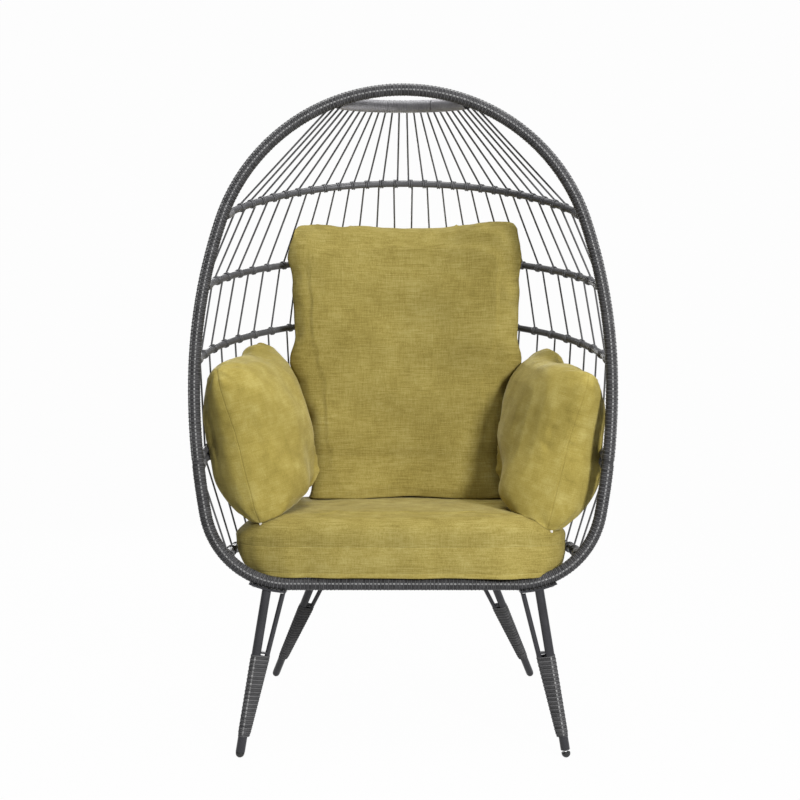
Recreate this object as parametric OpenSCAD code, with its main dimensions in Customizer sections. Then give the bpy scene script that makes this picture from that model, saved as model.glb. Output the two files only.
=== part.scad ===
// Garden egg chair: a leaning oval hoop, a shell of cords stretched over ribs behind it,
// four splayed V legs with levelling feet, and four loose cushions.
// Millimetres. +Z is up, the chair faces -Y, and the floor is at z = 0.

/* [Hoop] */
// Half of the hoop's outer width at its widest
hoop_half_w = 475; // [465:1:490]
// Height of the widest place, where the hoop's plane pivots
widest_z = 813; // [790:1:840]
// From the widest place to the top of the hoop, along the hoop
hoop_rise = 667; // [640:1:690]
// From the widest place to the bottom of the hoop, along the hoop
hoop_drop = 460; // [445:1:475]
// How much smaller the radius of the arc over the top is than the half width
top_in = 35; // [20:1:50]
// From the widest place in to the end of the straight bottom bar
bottom_in = 225; // [219:1:235]
// Outer radius of the two bottom corners
corner_r = 200; // [185:1:210]
// Backward lean of the hoop in degrees
hoop_lean = 3; // [0:0.5:5]
// Where the upper and lower sections meet, down from the widest place
split_drop = 183; // [160:1:200]

/* [Tubes] */
// Diameter of the hoop tube
hoop_tube_d = 22; // [20:0.5:23]
// Wall of every hollow tube
tube_wall = 1.5; // [1.2:0.1:2]
// Thickness of the wicker wound on the hoop
wrap_t = 2.5; // [2:0.1:3]
// Diameter of the rib tubes
rib_d = 16; // [14:0.5:17]
// Diameter of the seat rail tube
seat_rail_d = 20; // [18:0.5:22]
// Diameter of the crown bar
crown_d = 20; // [18:0.5:22]
// Thickness of the cord wound on the crown bar
crown_wrap_t = 4.5; // [3.5:0.1:5]

/* [Ribs] */
// Height of the top rib where it meets the hoop
rib_1_z = 1183; // [1170:1:1195]
// How far the top rib reaches back
rib_1_depth = 270; // [260:1:280]
// How far the top rib rises on its way back
rib_1_rise = 128; // [120:1:136]
// Height of the second rib where it meets the hoop
rib_2_z = 1022; // [1010:1:1035]
// How far the second rib reaches back
rib_2_depth = 410; // [402:1:418]
// How far the second rib rises on its way back
rib_2_rise = 121; // [113:1:129]
// Height of the third rib where it meets the hoop
rib_3_z = 854; // [842:1:866]
// How far the third rib reaches back
rib_3_depth = 470; // [464:1:478]
// How far the third rib rises on its way back
rib_3_rise = 130; // [120:1:140]
// How far the two joining rails reach back
rail_depth = 485; // [478:1:492]
// How far the two joining rails rise on their way back
rail_rise = 105; // [95:1:115]
// Height of the level seat rail
seat_rail_z = 424; // [420:1:428]
// How far the seat rail reaches back
seat_rail_depth = 490; // [482:1:498]
// Half width of the crown bar where it meets the hoop
crown_half = 145; // [138:1:152]
// How far the crown bar reaches back
crown_depth = 90; // [82:1:98]

/* [Cords] */
// Diameter of the shell and seat cords
cord_d = 4.5; // [4:0.1:5]
// Cords on each side of the middle
cords_per_side = 13; // [11:1:13]
// Angle between neighbouring cords on the crown bar, degrees
crown_step = 4.2; // [3.8:0.1:4.3]
// Angle between neighbouring cords on the top rib, degrees
rib_1_step = 4.9; // [4.6:0.1:5]
// Angle between neighbouring cords on the second rib, degrees
rib_2_step = 6.6; // [6.2:0.1:6.7]
// Angle between neighbouring cords on the third rib, degrees
rib_3_step = 7.2; // [6.8:0.1:7.3]
// Angle between neighbouring cords on the joining rails, degrees
rail_step = 7.2; // [6.8:0.1:7.3]
// Angle between neighbouring cords on the seat rail, degrees
seat_rail_step = 7.2; // [6.8:0.1:7.4]
// Cords across the seat
seat_cords_n = 11; // [7:2:11]
// Distance between neighbouring seat cords
seat_cord_pitch = 24; // [20:1:26]

/* [Legs] */
// Diameter of the main leg tube
leg_d = 20; // [18:0.5:21]
// Diameter of the thin brace rod
brace_d = 11; // [9:0.5:12]
// Thickness of the wicker wound on the legs
leg_wrap_t = 1.5; // [1.2:0.1:2]
// Length of the wound part of a front leg
front_wrap_l = 176; // [160:1:190]
// Length of the wound part of a rear leg
rear_wrap_l = 190; // [175:1:200]
// Distance from a front foot to its winding
front_wrap_start = 36; // [30:1:45]
// Distance from a rear foot to its winding
rear_wrap_start = 60; // [50:1:70]
// From the hoop's widest place in to a front foot
front_foot_in = 124; // [115:1:130]
// Front feet, from the hoop's pivot line
front_foot_y = -52; // [-65:1:-40]
// From the hoop's widest place in to a rear foot
rear_foot_in = 123; // [115:1:130]
// Rear feet, from the hoop's pivot line
rear_foot_y = 538; // [520:1:550]
// From the back of the seat rail forward to the rear seat bar
rear_bar_in = 130; // [120:1:140]
// Radius of the rear seat bar's two upward bends
rear_bend_r = 200; // [190:1:215]
// Angle of a front saddle round its corner from straight down, degrees
front_saddle_a = 13; // [12.5:0.5:14]
// Angle of a rear saddle round its bend from straight down, degrees
rear_saddle_a = 18.5; // [16:0.5:20]
// Length of the saddle plate along the corner
saddle_l = 82; // [78:1:86]
// Width of the saddle plate
saddle_w = 30; // [28:1:33]
// Thickness of the saddle plate
saddle_t = 4; // [3:0.5:5]
// Distance between the two bolts of a saddle
bolt_pitch = 62; // [58:1:64]
// Diameter of the saddle bolts
bolt_d = 6; // [5:0.5:6.5]

/* [Levelling feet] */
// Diameter of the rounded foot tip
tip_d = 19; // [17:0.5:20]
// Height of the straight rim above the rounded tip
tip_rim = 2; // [1.5:0.5:3]
// Diameter of the threaded stud
stud_d = 8; // [6:0.5:8]
// Length of the stud above the tip
stud_l = 34; // [32:1:38]
// Depth of the threaded plug in the tube end
plug_l = 15; // [12:1:18]
// How much shorter the front right leg tube is cut
short_leg = 5; // [0:0.5:6]

/* [Cushions] */
// From the hoop's widest place in to the side of the seat cushion
seat_in = 108; // [106:1:117]
// Highest point of the seat cushion above its underside
seat_t = 140; // [130:1:144]
// Front edge of the seat cushion, from the hoop's pivot line
seat_front_y = -24; // [-30:1:-10]
// How far the seat cushion reaches back past the rear seat bar
seat_past_bar = 36; // [16:1:40]
// Width of the back cushion
back_w = 560; // [540:1:564]
// Height of the back cushion
back_h = 690; // [660:1:694]
// Thickness of the back cushion in the middle
back_t = 132; // [120:1:136]
// Side length of the two square pillows
pillow_w = 400; // [385:1:404]
// Thickness of the pillows in the middle
pillow_t = 190; // [170:1:194]

/* [Hidden] */

$fn = 64;
gap = 0.3;            // clearance between pieces that rest on or beside each other
fit = 0.1;            // clearance round a sleeve, a plug or a spigot
run = 0.05;           // running clearance of the stud in its plug
far = 1200;           // longer than anything it has to cut

// What stands on the hoop's width or the seat rail's depth moves with it
top_r = hoop_half_w - top_in;
bottom_half = hoop_half_w - bottom_in;
front_foot_x = hoop_half_w - front_foot_in;
rear_foot_x = hoop_half_w - rear_foot_in;
rear_bar_y = seat_rail_depth - rear_bar_in;
seat_w = 2 * (hoop_half_w - seat_in);
seat_l = rear_bar_y + seat_past_bar - seat_front_y;

mid_y = (front_foot_y + rear_foot_y) / 2;
hoop_r = hoop_tube_d / 2;
hoop_out = hoop_r + wrap_t;
rib_r = rib_d / 2;
cord_r = cord_d / 2;

// ---- small vector helpers
function unit(v) = v / norm(v);
function flip(p, side) = [side * p[0], p[1], p[2]];
// Whole hundredths, so that arcs which share an end meet in exactly one circle
function hundredth(x) = round(x * 100) / 100;
// Lays a cylinder between two points
module rod(p, q, r) {
    d = q - p;
    translate(p)
        rotate([0, acos(d[2] / norm(d)), atan2(d[1], d[0])])
            cylinder(h = norm(d), r = r);
}
// Turns the local Z axis along d at point p
module along(p, d) {
    translate(p) rotate([0, acos(d[2] / norm(d)), atan2(d[1], d[0])]) children();
}
module place() { translate([0, -mid_y, 0]) children(); }

// ---- outline of the hoop, in its own plane: x across, v up from the widest place
// Outer arcs are tangent: top, shoulder, flank, corner, straight bottom bar
shoulder_r = hundredth((pow(hoop_half_w, 2) + pow(hoop_rise - top_r, 2) - pow(top_r, 2))
                       / (2 * (hoop_half_w - top_r)));
top_c = [0, hoop_rise - top_r];
shoulder_c = [hoop_half_w - shoulder_r, 0];
corner_c = [bottom_half, corner_r - hoop_drop];
corner_dx = hoop_half_w - bottom_half;
flank_r = hundredth((pow(corner_dx, 2) + pow(corner_c[1], 2) - pow(corner_r, 2))
                    / (2 * (corner_dx - corner_r)));
flank_c = [hoop_half_w - flank_r, 0];
top_a = atan2(top_c[1] - shoulder_c[1], top_c[0] - shoulder_c[0]);
flank_a = atan2(corner_c[1] - flank_c[1], corner_c[0] - flank_c[0]);
split_a = -asin(split_drop / flank_r);

// Half width of the hoop's middle line at height v in its plane
function hoop_x(v) =
    v > top_c[1] + top_r * sin(top_a) ? sqrt(pow(top_r - hoop_out, 2) - pow(v - top_c[1], 2))
    : v > 0 ? shoulder_c[0] + sqrt(pow(shoulder_r - hoop_out, 2) - v * v)
    : v > flank_r * sin(flank_a) ? flank_c[0] + sqrt(pow(flank_r - hoop_out, 2) - v * v)
    : corner_c[0] + sqrt(pow(corner_r - hoop_out, 2) - pow(v - corner_c[1], 2));
// Height in the hoop's plane of a point at height z
function hoop_v(z) = (z - widest_z) / cos(hoop_lean);

module hoop_plane() {
    translate([0, 0, widest_z]) rotate([90 - hoop_lean, 0, 0]) children();
}
// One arc of a ring with outer line radius r, drawn in the plane of the hoop
module hoop_arc(c, r, from, to, outer, inner) {
    translate([c[0], c[1], 0])
        rotate_extrude(angle = to - from, start = from, $fn = 180)
            translate([r - hoop_out, 0]) difference() {
                circle(r = outer);
                circle(r = inner);
            }
}
// Each bent length stops just short of the next, and a weld ring joins the two
weld_l = 1.2;
weld_t = 0.04;
function nip(r) = arc_a(weld_l / 4, r);
module weld(c, r, a, outer, inner) {
    translate([c[0], c[1], 0]) rotate([0, 0, a]) translate([r - hoop_out, 0, 0])
        rotate([90, 0, 0]) translate([0, 0, -weld_l / 2]) linear_extrude(weld_l)
            difference() {
                circle(r = outer + weld_t);
                circle(r = inner - weld_t);
            }
}
module both_sides() {
    children();
    mirror([1, 0, 0]) children();
}
module upper_path(outer, inner) {
    hoop_plane() {
        hoop_arc(top_c, top_r, top_a + nip(top_r), 180 - top_a - nip(top_r), outer, inner);
        both_sides() {
            weld(top_c, top_r, top_a, outer, inner);
            hoop_arc(shoulder_c, shoulder_r, nip(shoulder_r), top_a - nip(shoulder_r),
                     outer, inner);
            weld(shoulder_c, shoulder_r, 0, outer, inner);
            hoop_arc(flank_c, flank_r, split_a, -nip(flank_r), outer, inner);
        }
    }
}
module lower_path(outer, inner, joint) {
    flat = bottom_half - weld_l / 4;
    hoop_plane() {
        translate([-flat, hoop_out - hoop_drop, 0]) rotate([0, 90, 0])
            linear_extrude(2 * flat) difference() {
                circle(r = outer);
                circle(r = inner);
            }
        both_sides() {
            weld(corner_c, corner_r, -90, outer, inner);
            hoop_arc(corner_c, corner_r, nip(corner_r) - 90, flank_a - nip(corner_r),
                     outer, inner);
            weld(corner_c, corner_r, flank_a, outer, inner);
            hoop_arc(flank_c, flank_r, flank_a + nip(flank_r), split_a - joint,
                     outer, inner);
        }
    }
}

// ---- ribs: arcs through two points behind the hoop and one point at the back
// A rib is [half chord, front height, reach back, rise]; it starts behind the winding
function rib_of(z, depth, rise, r) =
    [hoop_x(hoop_v(z)), z, hoop_v(z) * sin(hoop_lean) + hoop_out + gap, depth, rise, r];
function rib_back(rib) = rib[3] - rib[2] + hoop_v(rib[1]) * sin(hoop_lean);
function rib_sag(rib) = norm([rib_back(rib), rib[4]]);
function rib_radius(rib) = (pow(rib[0], 2) + pow(rib_sag(rib), 2)) / (2 * rib_sag(rib));
function rib_tilt(rib) = atan2(rib[4], rib_back(rib));
function rib_end(rib) = acos(1 - rib_sag(rib) / rib_radius(rib));
function rib_mid(rib) =
    let (m = rib_sag(rib) - rib_radius(rib), a = rib_tilt(rib))
    [0, rib[2] + m * cos(a), rib[1] + m * sin(a)];
// Point, tangent and radial direction at angle t from the back
function rib_at(rib, t) = rib_mid(rib) + rib_radius(rib) * rib_out(rib, t);
function rib_out(rib, t) =
    let (a = rib_tilt(rib)) [sin(t), cos(t) * cos(a), cos(t) * sin(a)];
function rib_tan(rib, t) =
    let (a = rib_tilt(rib)) [cos(t), -sin(t) * cos(a), -sin(t) * sin(a)];

module rib_ring(rib, outer, inner) {
    // drawn a little past the hoop, then cut flat against the back of its winding
    sweep = 2 * (rib_end(rib) + arc_a(2 * rib[5], rib_radius(rib)));
    difference() {
        translate(rib_mid(rib)) rotate([rib_tilt(rib), 0, 0])
            rotate([0, 0, 90 - sweep / 2])
                rotate_extrude(angle = sweep, $fn = 180)
                    translate([rib_radius(rib), 0]) difference() {
                        circle(r = outer);
                        circle(r = inner);
                    }
        hoop_plane() translate([-far / 2, -far, -hoop_out - gap]) cube([far, 2 * far, far]);
    }
}

rail_z = widest_z - split_drop * cos(hoop_lean);
rail_lift = rib_r + 1;      // each rail lies this far above or below the seam
crown_z = widest_z + sqrt(pow(top_r - hoop_out, 2) - pow(crown_half, 2)) * cos(hoop_lean)
          + top_c[1] * cos(hoop_lean);
crown_rise = 14;            // the crown bar climbs a little on its way back

RIB_1 = rib_of(rib_1_z, rib_1_depth, rib_1_rise, rib_r);
RIB_2 = rib_of(rib_2_z, rib_2_depth, rib_2_rise, rib_r);
RIB_3 = rib_of(rib_3_z, rib_3_depth, rib_3_rise, rib_r);
RAIL_U = rib_of(rail_z + rail_lift, rail_depth, rail_rise, rib_r);
RAIL_L = rib_of(rail_z - rail_lift, rail_depth, rail_rise, rib_r);
SEAT_RAIL = rib_of(seat_rail_z, seat_rail_depth, 0, seat_rail_d / 2);
CROWN = rib_of(crown_z, crown_depth, crown_rise, crown_d / 2 + crown_wrap_t);

// ---- shell cords: straight between two ribs, just outside both
function cord_dir(a, ta, b, tb) = unit(rib_at(b, tb) - rib_at(a, ta));
function cord_side(rib, t, dir) =
    let (m = unit(cross(rib_tan(rib, t), dir))) m * rib_out(rib, t) >= 0 ? m : -m;
function cord_seat(rib, t, dir) =
    rib_at(rib, t) + (rib[5] + cord_r + gap) * cord_side(rib, t, dir);
// A cord leaves a rib beside the turn that it arrived at
function beside(rib) = asin(0.62 * cord_d / rib_radius(rib));

// The angle between two cords on a rib, made smaller where the last would meet the hoop
function fit_step(rib, step) =
    min(step, (rib_end(rib) - arc_a(11, rib_radius(rib))) / (cords_per_side - 0.5));
module shell_cords(a, step_a, b, step_b) {
    color("gray") place() for (i = [0 : cords_per_side - 1], side = [-1, 1]) {
        ta = (i + 0.5) * fit_step(a, step_a) + beside(a);
        tb = (i + 0.5) * fit_step(b, step_b) - beside(b);
        dir = cord_dir(a, ta, b, tb);
        rod(flip(cord_seat(a, ta, dir), side), flip(cord_seat(b, tb, dir), side), cord_r);
    }
}

// ---- seat frame
bar_z = widest_z - (hoop_drop - hoop_out) * cos(hoop_lean);
front_bar_y = -(hoop_drop - hoop_out) * sin(hoop_lean);
deck_z = bar_z + hoop_out;                        // top of both cross bars
rear_bar_r = hoop_r;
rear_bar_z = deck_z - rear_bar_r;
// The rear bar bends up at both ends to meet the seat rail from below
seat_mid = rib_mid(SEAT_RAIL);
seat_r = rib_radius(SEAT_RAIL);
meet_x = sqrt(pow(seat_r, 2) - pow(rear_bar_y - seat_mid[1], 2));
bend_a = acos(1 - (seat_rail_z - rear_bar_z) / rear_bend_r);
rear_flat = meet_x - rear_bend_r * sin(bend_a);
// The bar stops short of the rail by the rail's radius, more where they cross askew
askew = cos(bend_a) * (rear_bar_y - seat_mid[1]) / seat_r;
rear_stop = 1 + (seat_rail_d / 2 + askew * rear_bar_r) / sqrt(1 - askew * askew);
seat_bar_x = 130;
seat_bar_r = 8;
seat_bar_z = bar_z - 0.5;
seat_cord_z = deck_z - cord_r - gap;

// ---- legs
// Each hangs from a saddle, an arc plate under a bend of the front or the rear bar.
// c is the bend's middle, r the plate's inner radius and a the angle from straight down
function saddle_point(c, r, a, lean) =
    let (x = c[0] + r * sin(a), v = c[1] - r * cos(a)) [x, v * sin(lean), v * cos(lean)];
front_c = corner_c;
front_saddle_r = corner_r + gap;
rear_c = [rear_flat, rear_bar_z + rear_bend_r];
rear_saddle_r = rear_bend_r + rear_bar_r + gap;
head_r = 5;
head_h = 3.5;
tip_r = tip_d / 2;
tip_flat = 0.4;             // the tip is pressed this flat on the floor
tip_z = tip_r - tip_flat;
tip_clear = 0.5;            // between a tip screwed home and its tube
brace_off = 36;             // brace to tube along the saddle
brace_back = brace_d / 2 + head_r + 2 * gap;      // the brace stands behind the bolt
brace_low = 8.2;            // at its foot the brace runs into the side of the tube
saddle_shift = 2.5;         // the plate reaches further back than forward

function arc_a(mm, r) = mm * 180 / (PI * r);
function front_top(off, back) =
    saddle_point(front_c, front_saddle_r, front_saddle_a + arc_a(off, front_saddle_r),
                 hoop_lean) + [0, back, widest_z];
function rear_top(off, back) =
    saddle_point(rear_c, rear_saddle_r, rear_saddle_a + arc_a(off, rear_saddle_r), 0)
    + [0, rear_bar_y + back, 0];
front_foot = [front_foot_x, front_foot_y, tip_z];
rear_foot = [rear_foot_x, rear_foot_y, tip_z];
front_tube_top = front_top(2, 0);
front_brace_top = front_top(2 - brace_off, brace_back);
rear_tube_top = rear_top(2, 0);
rear_brace_top = rear_top(2 - brace_off, brace_back);

module saddle_plate(c, r, a) {
    half = arc_a(saddle_l / 2, r);
    translate([c[0], c[1], 0]) rotate([0, 0, a - 90 - half])
        rotate_extrude(angle = 2 * half, $fn = 180)
            translate([r, -saddle_w / 2 - saddle_shift]) square([saddle_t, saddle_w]);
}
// Round bars through the saddle, from low to high below its upper face
module saddle_pins(c, r, a, low, high, rad) {
    for (s = [-1, 1])
        translate([c[0], c[1], 0]) rotate([0, 0, a + s * arc_a(bolt_pitch / 2, r)])
            translate([0, -r, 0]) rotate([90, 0, 0])
                translate([0, 0, low]) cylinder(h = high - low, r = rad);
}
module rear_plane() { translate([0, rear_bar_y, 0]) rotate([90, 0, 0]) children(); }

// brace and winding run beside the tube, on its inner side
function leg_axis(top, foot) = unit(top - foot);
function brace_foot(top, foot, brace_top, start) =
    let (u = leg_axis(top, foot), w = brace_top - foot, n = unit(w - (w * u) * u))
    foot + u * start + n * brace_low;

module leg_solid(top, foot, brace_top, start, wound, cut) {
    u = leg_axis(top, foot);
    low = foot + u * (tip_rim + tip_clear + cut);
    low_brace = brace_foot(top, foot, brace_top, start);
    bu = unit(brace_top - low_brace);
    bridge_at = start + wound + bridge_t;
    difference() {
        union() {
            rod(low, top + u * 12, leg_d / 2);
            rod(low_brace, brace_top + bu * 8, brace_d / 2);
            bridge(foot + u * bridge_at, low_brace + bu * (bridge_at - start), u);
        }
        rod(low - u, top - u * 20, leg_d / 2 - tube_wall);
    }
}
// Flat bar across the V, just above the winding
bridge_t = 4;
bridge_w = 12;
module bridge(p, q, u) {
    x = unit((q - p) - ((q - p) * u) * u);
    y = cross(u, x);
    multmatrix([[x[0], y[0], u[0], p[0]], [x[1], y[1], u[1], p[1]], [x[2], y[2], u[2], p[2]]])
        translate([0, -bridge_w / 2, -bridge_t / 2]) cube([norm(q - p), bridge_w, bridge_t]);
}
module leg_winding(top, foot, brace_top, start, wound) {
    u = leg_axis(top, foot);
    low_brace = brace_foot(top, foot, brace_top, start);
    bu = unit(brace_top - low_brace);
    color("gray") place() difference() {
        two_rods(foot + u * start, foot + u * (start + wound), low_brace,
                 low_brace + bu * wound, leg_wrap_t);
        two_rods(foot + u * (start - 1), foot + u * (start + wound + 1), low_brace - bu,
                 low_brace + bu * (wound + 1), fit);
    }
}
// The space round the tube and its brace, with the web between them
module two_rods(a, b, c, d, grow) {
    hull() {
        rod(a, b, leg_d / 2 + grow, $fn = 32);
        rod(c, d, brace_d / 2 + grow, $fn = 32);
    }
}
module front_leg(cut) {
    color("dimgray") place() difference() {
        union() {
            leg_solid(front_tube_top, front_foot, front_brace_top, front_wrap_start,
                      front_wrap_l, cut);
            hoop_plane() saddle_plate(front_c, front_saddle_r, front_saddle_a);
        }
        hoop_plane() {
            translate([front_c[0], front_c[1], 0])
                cylinder(h = 100, r = front_saddle_r, center = true, $fn = 180);
            saddle_pins(front_c, front_saddle_r, front_saddle_a, -1, saddle_t + 1,
                        bolt_d / 2 + gap);
        }
    }
}
module rear_leg() {
    color("dimgray") place() difference() {
        union() {
            leg_solid(rear_tube_top, rear_foot, rear_brace_top, rear_wrap_start,
                      rear_wrap_l, 0);
            rear_plane() saddle_plate(rear_c, rear_saddle_r, rear_saddle_a);
        }
        rear_plane() {
            translate([rear_c[0], rear_c[1], 0])
                cylinder(h = 100, r = rear_saddle_r, center = true, $fn = 180);
            saddle_pins(rear_c, rear_saddle_r, rear_saddle_a, -1, saddle_t + 1,
                        bolt_d / 2 + gap);
        }
    }
}

// ---- levelling feet
module foot_plug(top, foot, cut) {
    u = leg_axis(top, foot);
    along(foot + u * (tip_rim + tip_clear + cut), u) difference() {
        cylinder(h = plug_l, r = leg_d / 2 - tube_wall - fit);
        translate([0, 0, -1]) cylinder(h = plug_l + 2, r = stud_d / 2 + run);
    }
}
module levelling_foot(top, foot) {
    u = leg_axis(top, foot);
    color("#1b1b1c") place() difference() {
        union() {
            along(foot, u) difference() {
                sphere(r = tip_r);
                translate([-tip_r - 1, -tip_r - 1, 0]) cube(2 * tip_r + 2);
            }
            rod(foot, foot + u * tip_rim, tip_r);
            rod(foot, foot + u * (tip_rim + stud_l), stud_d / 2);
        }
        translate(foot + [-far / 2, -far / 2, -tip_z - far]) cube(far);
    }
}

// ---- cushions: rings of points round a middle line, closed by a pole at each end
ring_n = 40;
// Outline of a rounded square, with sides drawn in between the corners
function plump(a, n, pull) =
    let (c = abs(cos(a)), s = abs(sin(a)))
    pow(pow(c, n) + pow(s, n), -1 / n) * (1 - pull * pow(cos(2 * a), 2));
module soft_form(rings) {
    k = len(rings) - 2;
    points = [for (r = rings, p = r) p];
    last = 1 + k * ring_n;
    faces = [
        for (i = [0 : ring_n - 1]) [0, 1 + i, 1 + (i + 1) % ring_n],
        for (j = [0 : k - 2], i = [0 : ring_n - 1])
            let (a = 1 + j * ring_n + i, b = 1 + j * ring_n + (i + 1) % ring_n)
            each [[a, a + ring_n, b + ring_n], [a, b + ring_n, b]],
        for (i = [0 : ring_n - 1])
            [last, last - ring_n + (i + 1) % ring_n, last - ring_n + i]
    ];
    polyhedron(points, faces, convexity = 4);
}
function angle_of(i) = 360 * i / ring_n;

// Seat: D shaped, a crown on top, lower edges drawn in like the hoop's corners
seat_z = deck_z + gap;
// share of the width, share of the length, share of the height
seat_profile = [
    [0, 0, 0], [0.40, 0.50, 0.000], [0.66, 0.80, 0.006], [0.785, 0.92, 0.06],
    [0.88, 0.985, 0.16], [0.955, 1.00, 0.31], [1.00, 1.00, 0.50], [0.99, 0.99, 0.68],
    [0.93, 0.95, 0.83], [0.80, 0.85, 0.925], [0.55, 0.62, 0.985], [0.27, 0.32, 1.00],
    [0, 0, 1.00]
];
function seat_outline(a) =
    let (c = cos(a), s = sin(a), n = s < 0 ? 4.6 : 2.5)
    pow(pow(abs(c), n) + pow(abs(s), n), -1 / n) * [c, s];
seat_mid_l = 170;           // the widest place, behind the front edge
function seat_ring(k) =
    [for (i = [0 : ring_n - 1])
        let (o = seat_outline(angle_of(i)),
             l = o[1] < 0 ? seat_mid_l : seat_l - seat_mid_l)
        inside_rail([o[0] * k[0] * seat_w / 2, seat_front_y + seat_mid_l + o[1] * k[1] * l,
                     seat_z + k[2] * seat_t])];
// The cushion's sides stay this far from the middle of the seat rail's tube
seat_side = seat_rail_d / 2 + 3;
function inside_rail(p) =
    let (room = seat_r - sqrt(max(0, pow(seat_side, 2) - pow(p[2] - seat_rail_z, 2))),
         s = min(1, room / norm([p[0], max(0, p[1] - seat_mid[1])])))
    [p[0] * s, p[1] < seat_mid[1] ? p[1] : seat_mid[1] + (p[1] - seat_mid[1]) * s, p[2]];
function seat_rings() =
    [for (k = seat_profile) k[0] == 0
        ? [[0, seat_front_y + seat_mid_l, seat_z + k[2] * seat_t]] : seat_ring(k)];

// Back: a tall soft box that curves round the shell and leans against it. The pillows
// press its lower edges in.
back_z = seat_z + seat_t + 0.8;
// the front face at the middle: the back leans on what reaches back least
back_front_y = min(rail_depth - 61, rib_3_depth - 46, rib_2_depth + 14) - back_t;
back_curl = 86;             // how far the two edges come forward
press_top = 905;            // the pillows press below this height
press_in = 0.15;            // share of the width that they take
function blend(x) = let (c = min(1, max(0, x))) c * c * (3 - 2 * c);
function back_half(z) = back_w / 2 * (1 - press_in * blend((press_top - z) / 70));
function back_face(x) = back_front_y - back_curl * pow(x / (back_w / 2), 2);
function back_point(a, k) =
    let (o = plump(a, 7, 0.02) * k[0], h = o * sin(a) * back_h / 2,
         z = back_z + back_h / 2 + h,
         x = o * cos(a) * back_half(z),
         top = max(0, (z - 1000) / 200))
    [-x, back_face(x) + back_t * k[1] - 60 * top * top * pow(x / (back_w / 2), 2), z];
back_profile = [
    [0, 0.00], [0.35, 0.005], [0.65, 0.03], [0.85, 0.10], [0.95, 0.22], [0.99, 0.36],
    [1.00, 0.50], [0.99, 0.64], [0.95, 0.78], [0.85, 0.90], [0.65, 0.97], [0.35, 0.995],
    [0, 1.00]
];
function back_rings() =
    [for (k = back_profile) k[0] == 0 ? [back_point(0, k)]
        : [for (i = [0 : ring_n - 1]) back_point(angle_of(i), k)]];

// Pillow: a stuffed square with pointed corners, on edge against the side of the shell
pillow_profile = [
    [0, -0.95], [0.28, -0.93], [0.52, -0.83], [0.72, -0.65], [0.87, -0.42], [0.96, -0.19],
    [1.00, 0], [0.96, 0.20], [0.87, 0.45], [0.72, 0.69], [0.52, 0.88], [0.28, 0.98], [0, 1.0]
];
pillow_c = [140 - hoop_half_w, 188, 696];
pillow_yaw = 12;            // the inner face looks a little to the front
pillow_roll = 14;           // the top leans outwards
pillow_pitch = 8;           // the back corner stands higher
function spin_x(p, a) =
    [p[0], p[1] * cos(a) - p[2] * sin(a), p[1] * sin(a) + p[2] * cos(a)];
function spin_y(p, a) =
    [p[0] * cos(a) + p[2] * sin(a), p[1], -p[0] * sin(a) + p[2] * cos(a)];
function spin_z(p, a) =
    [p[0] * cos(a) - p[1] * sin(a), p[0] * sin(a) + p[1] * cos(a), p[2]];
function pillow_point(a, k) =
    let (o = plump(a, 9, 0.05) * k[0],
         p = [k[1] * pillow_t / 2, o * cos(a) * pillow_w / 2, o * sin(a) * pillow_w / 2])
    pressed(pillow_c
            + spin_z(spin_y(spin_x(p, pillow_pitch), -pillow_roll), -pillow_yaw));
// Inner radius of the shell and its middle, between the seat rail, the joining rails
// and the third rib
function between(z, a, b, u, v) = u + (v - u) * (z - a) / (b - a);
function shell_r(z) =
    z < rail_z ? between(z, seat_rail_z, rail_z, seat_r, rib_radius(RAIL_L))
    : between(z, rail_z, rib_3_z + 60, rib_radius(RAIL_L), rib_radius(RIB_3));
function shell_y(z) =
    z < rail_z ? between(z, seat_rail_z, rail_z, seat_mid[1], rib_mid(RAIL_L)[1])
    : between(z, rail_z, rib_3_z + 60, rib_mid(RAIL_L)[1], rib_mid(RIB_3)[1]);
press_gap = 16;             // from the middle line of a rib to the pressed cloth
// Height of the seat cushion's top under a point
function seat_top(p) =
    let (y = p[1] - seat_front_y - seat_mid_l, l = y < 0 ? seat_mid_l : seat_l - seat_mid_l,
         n = y < 0 ? 4.6 : 2.5,
         s = pow(pow(abs(p[0]) / (seat_w / 2), n) + pow(abs(y) / l, n), 1 / n))
    s < 1 ? seat_z + seat_t * (1 - 0.3 * pow(s, 7)) + 0.8 + 5 * pow(s, 10) : 0;
// Keeps a point inside the shell, off the back cushion and above the seat
function pressed(p) =
    let (c = shell_y(p[2]), lim = shell_r(p[2]) - press_gap,
         s = min(1, lim / norm([p[0], max(0, p[1] - c)])),
         x = p[0] * s, y = p[1] < c ? p[1] : c + (p[1] - c) * s,
         edge = back_half(p[2] - 6) + 3,
         wall = back_face(min(edge, -x)) - 3 + 10 * max(0, -x - edge))
    [x, min(y, wall), max(p[2], seat_top([x, min(y, wall)]))];
function pillow_rings() =
    [for (k = pillow_profile) k[0] == 0 ? [pillow_point(0, k)]
        : [for (i = [0 : ring_n - 1]) pillow_point(angle_of(i), k)]];

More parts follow.
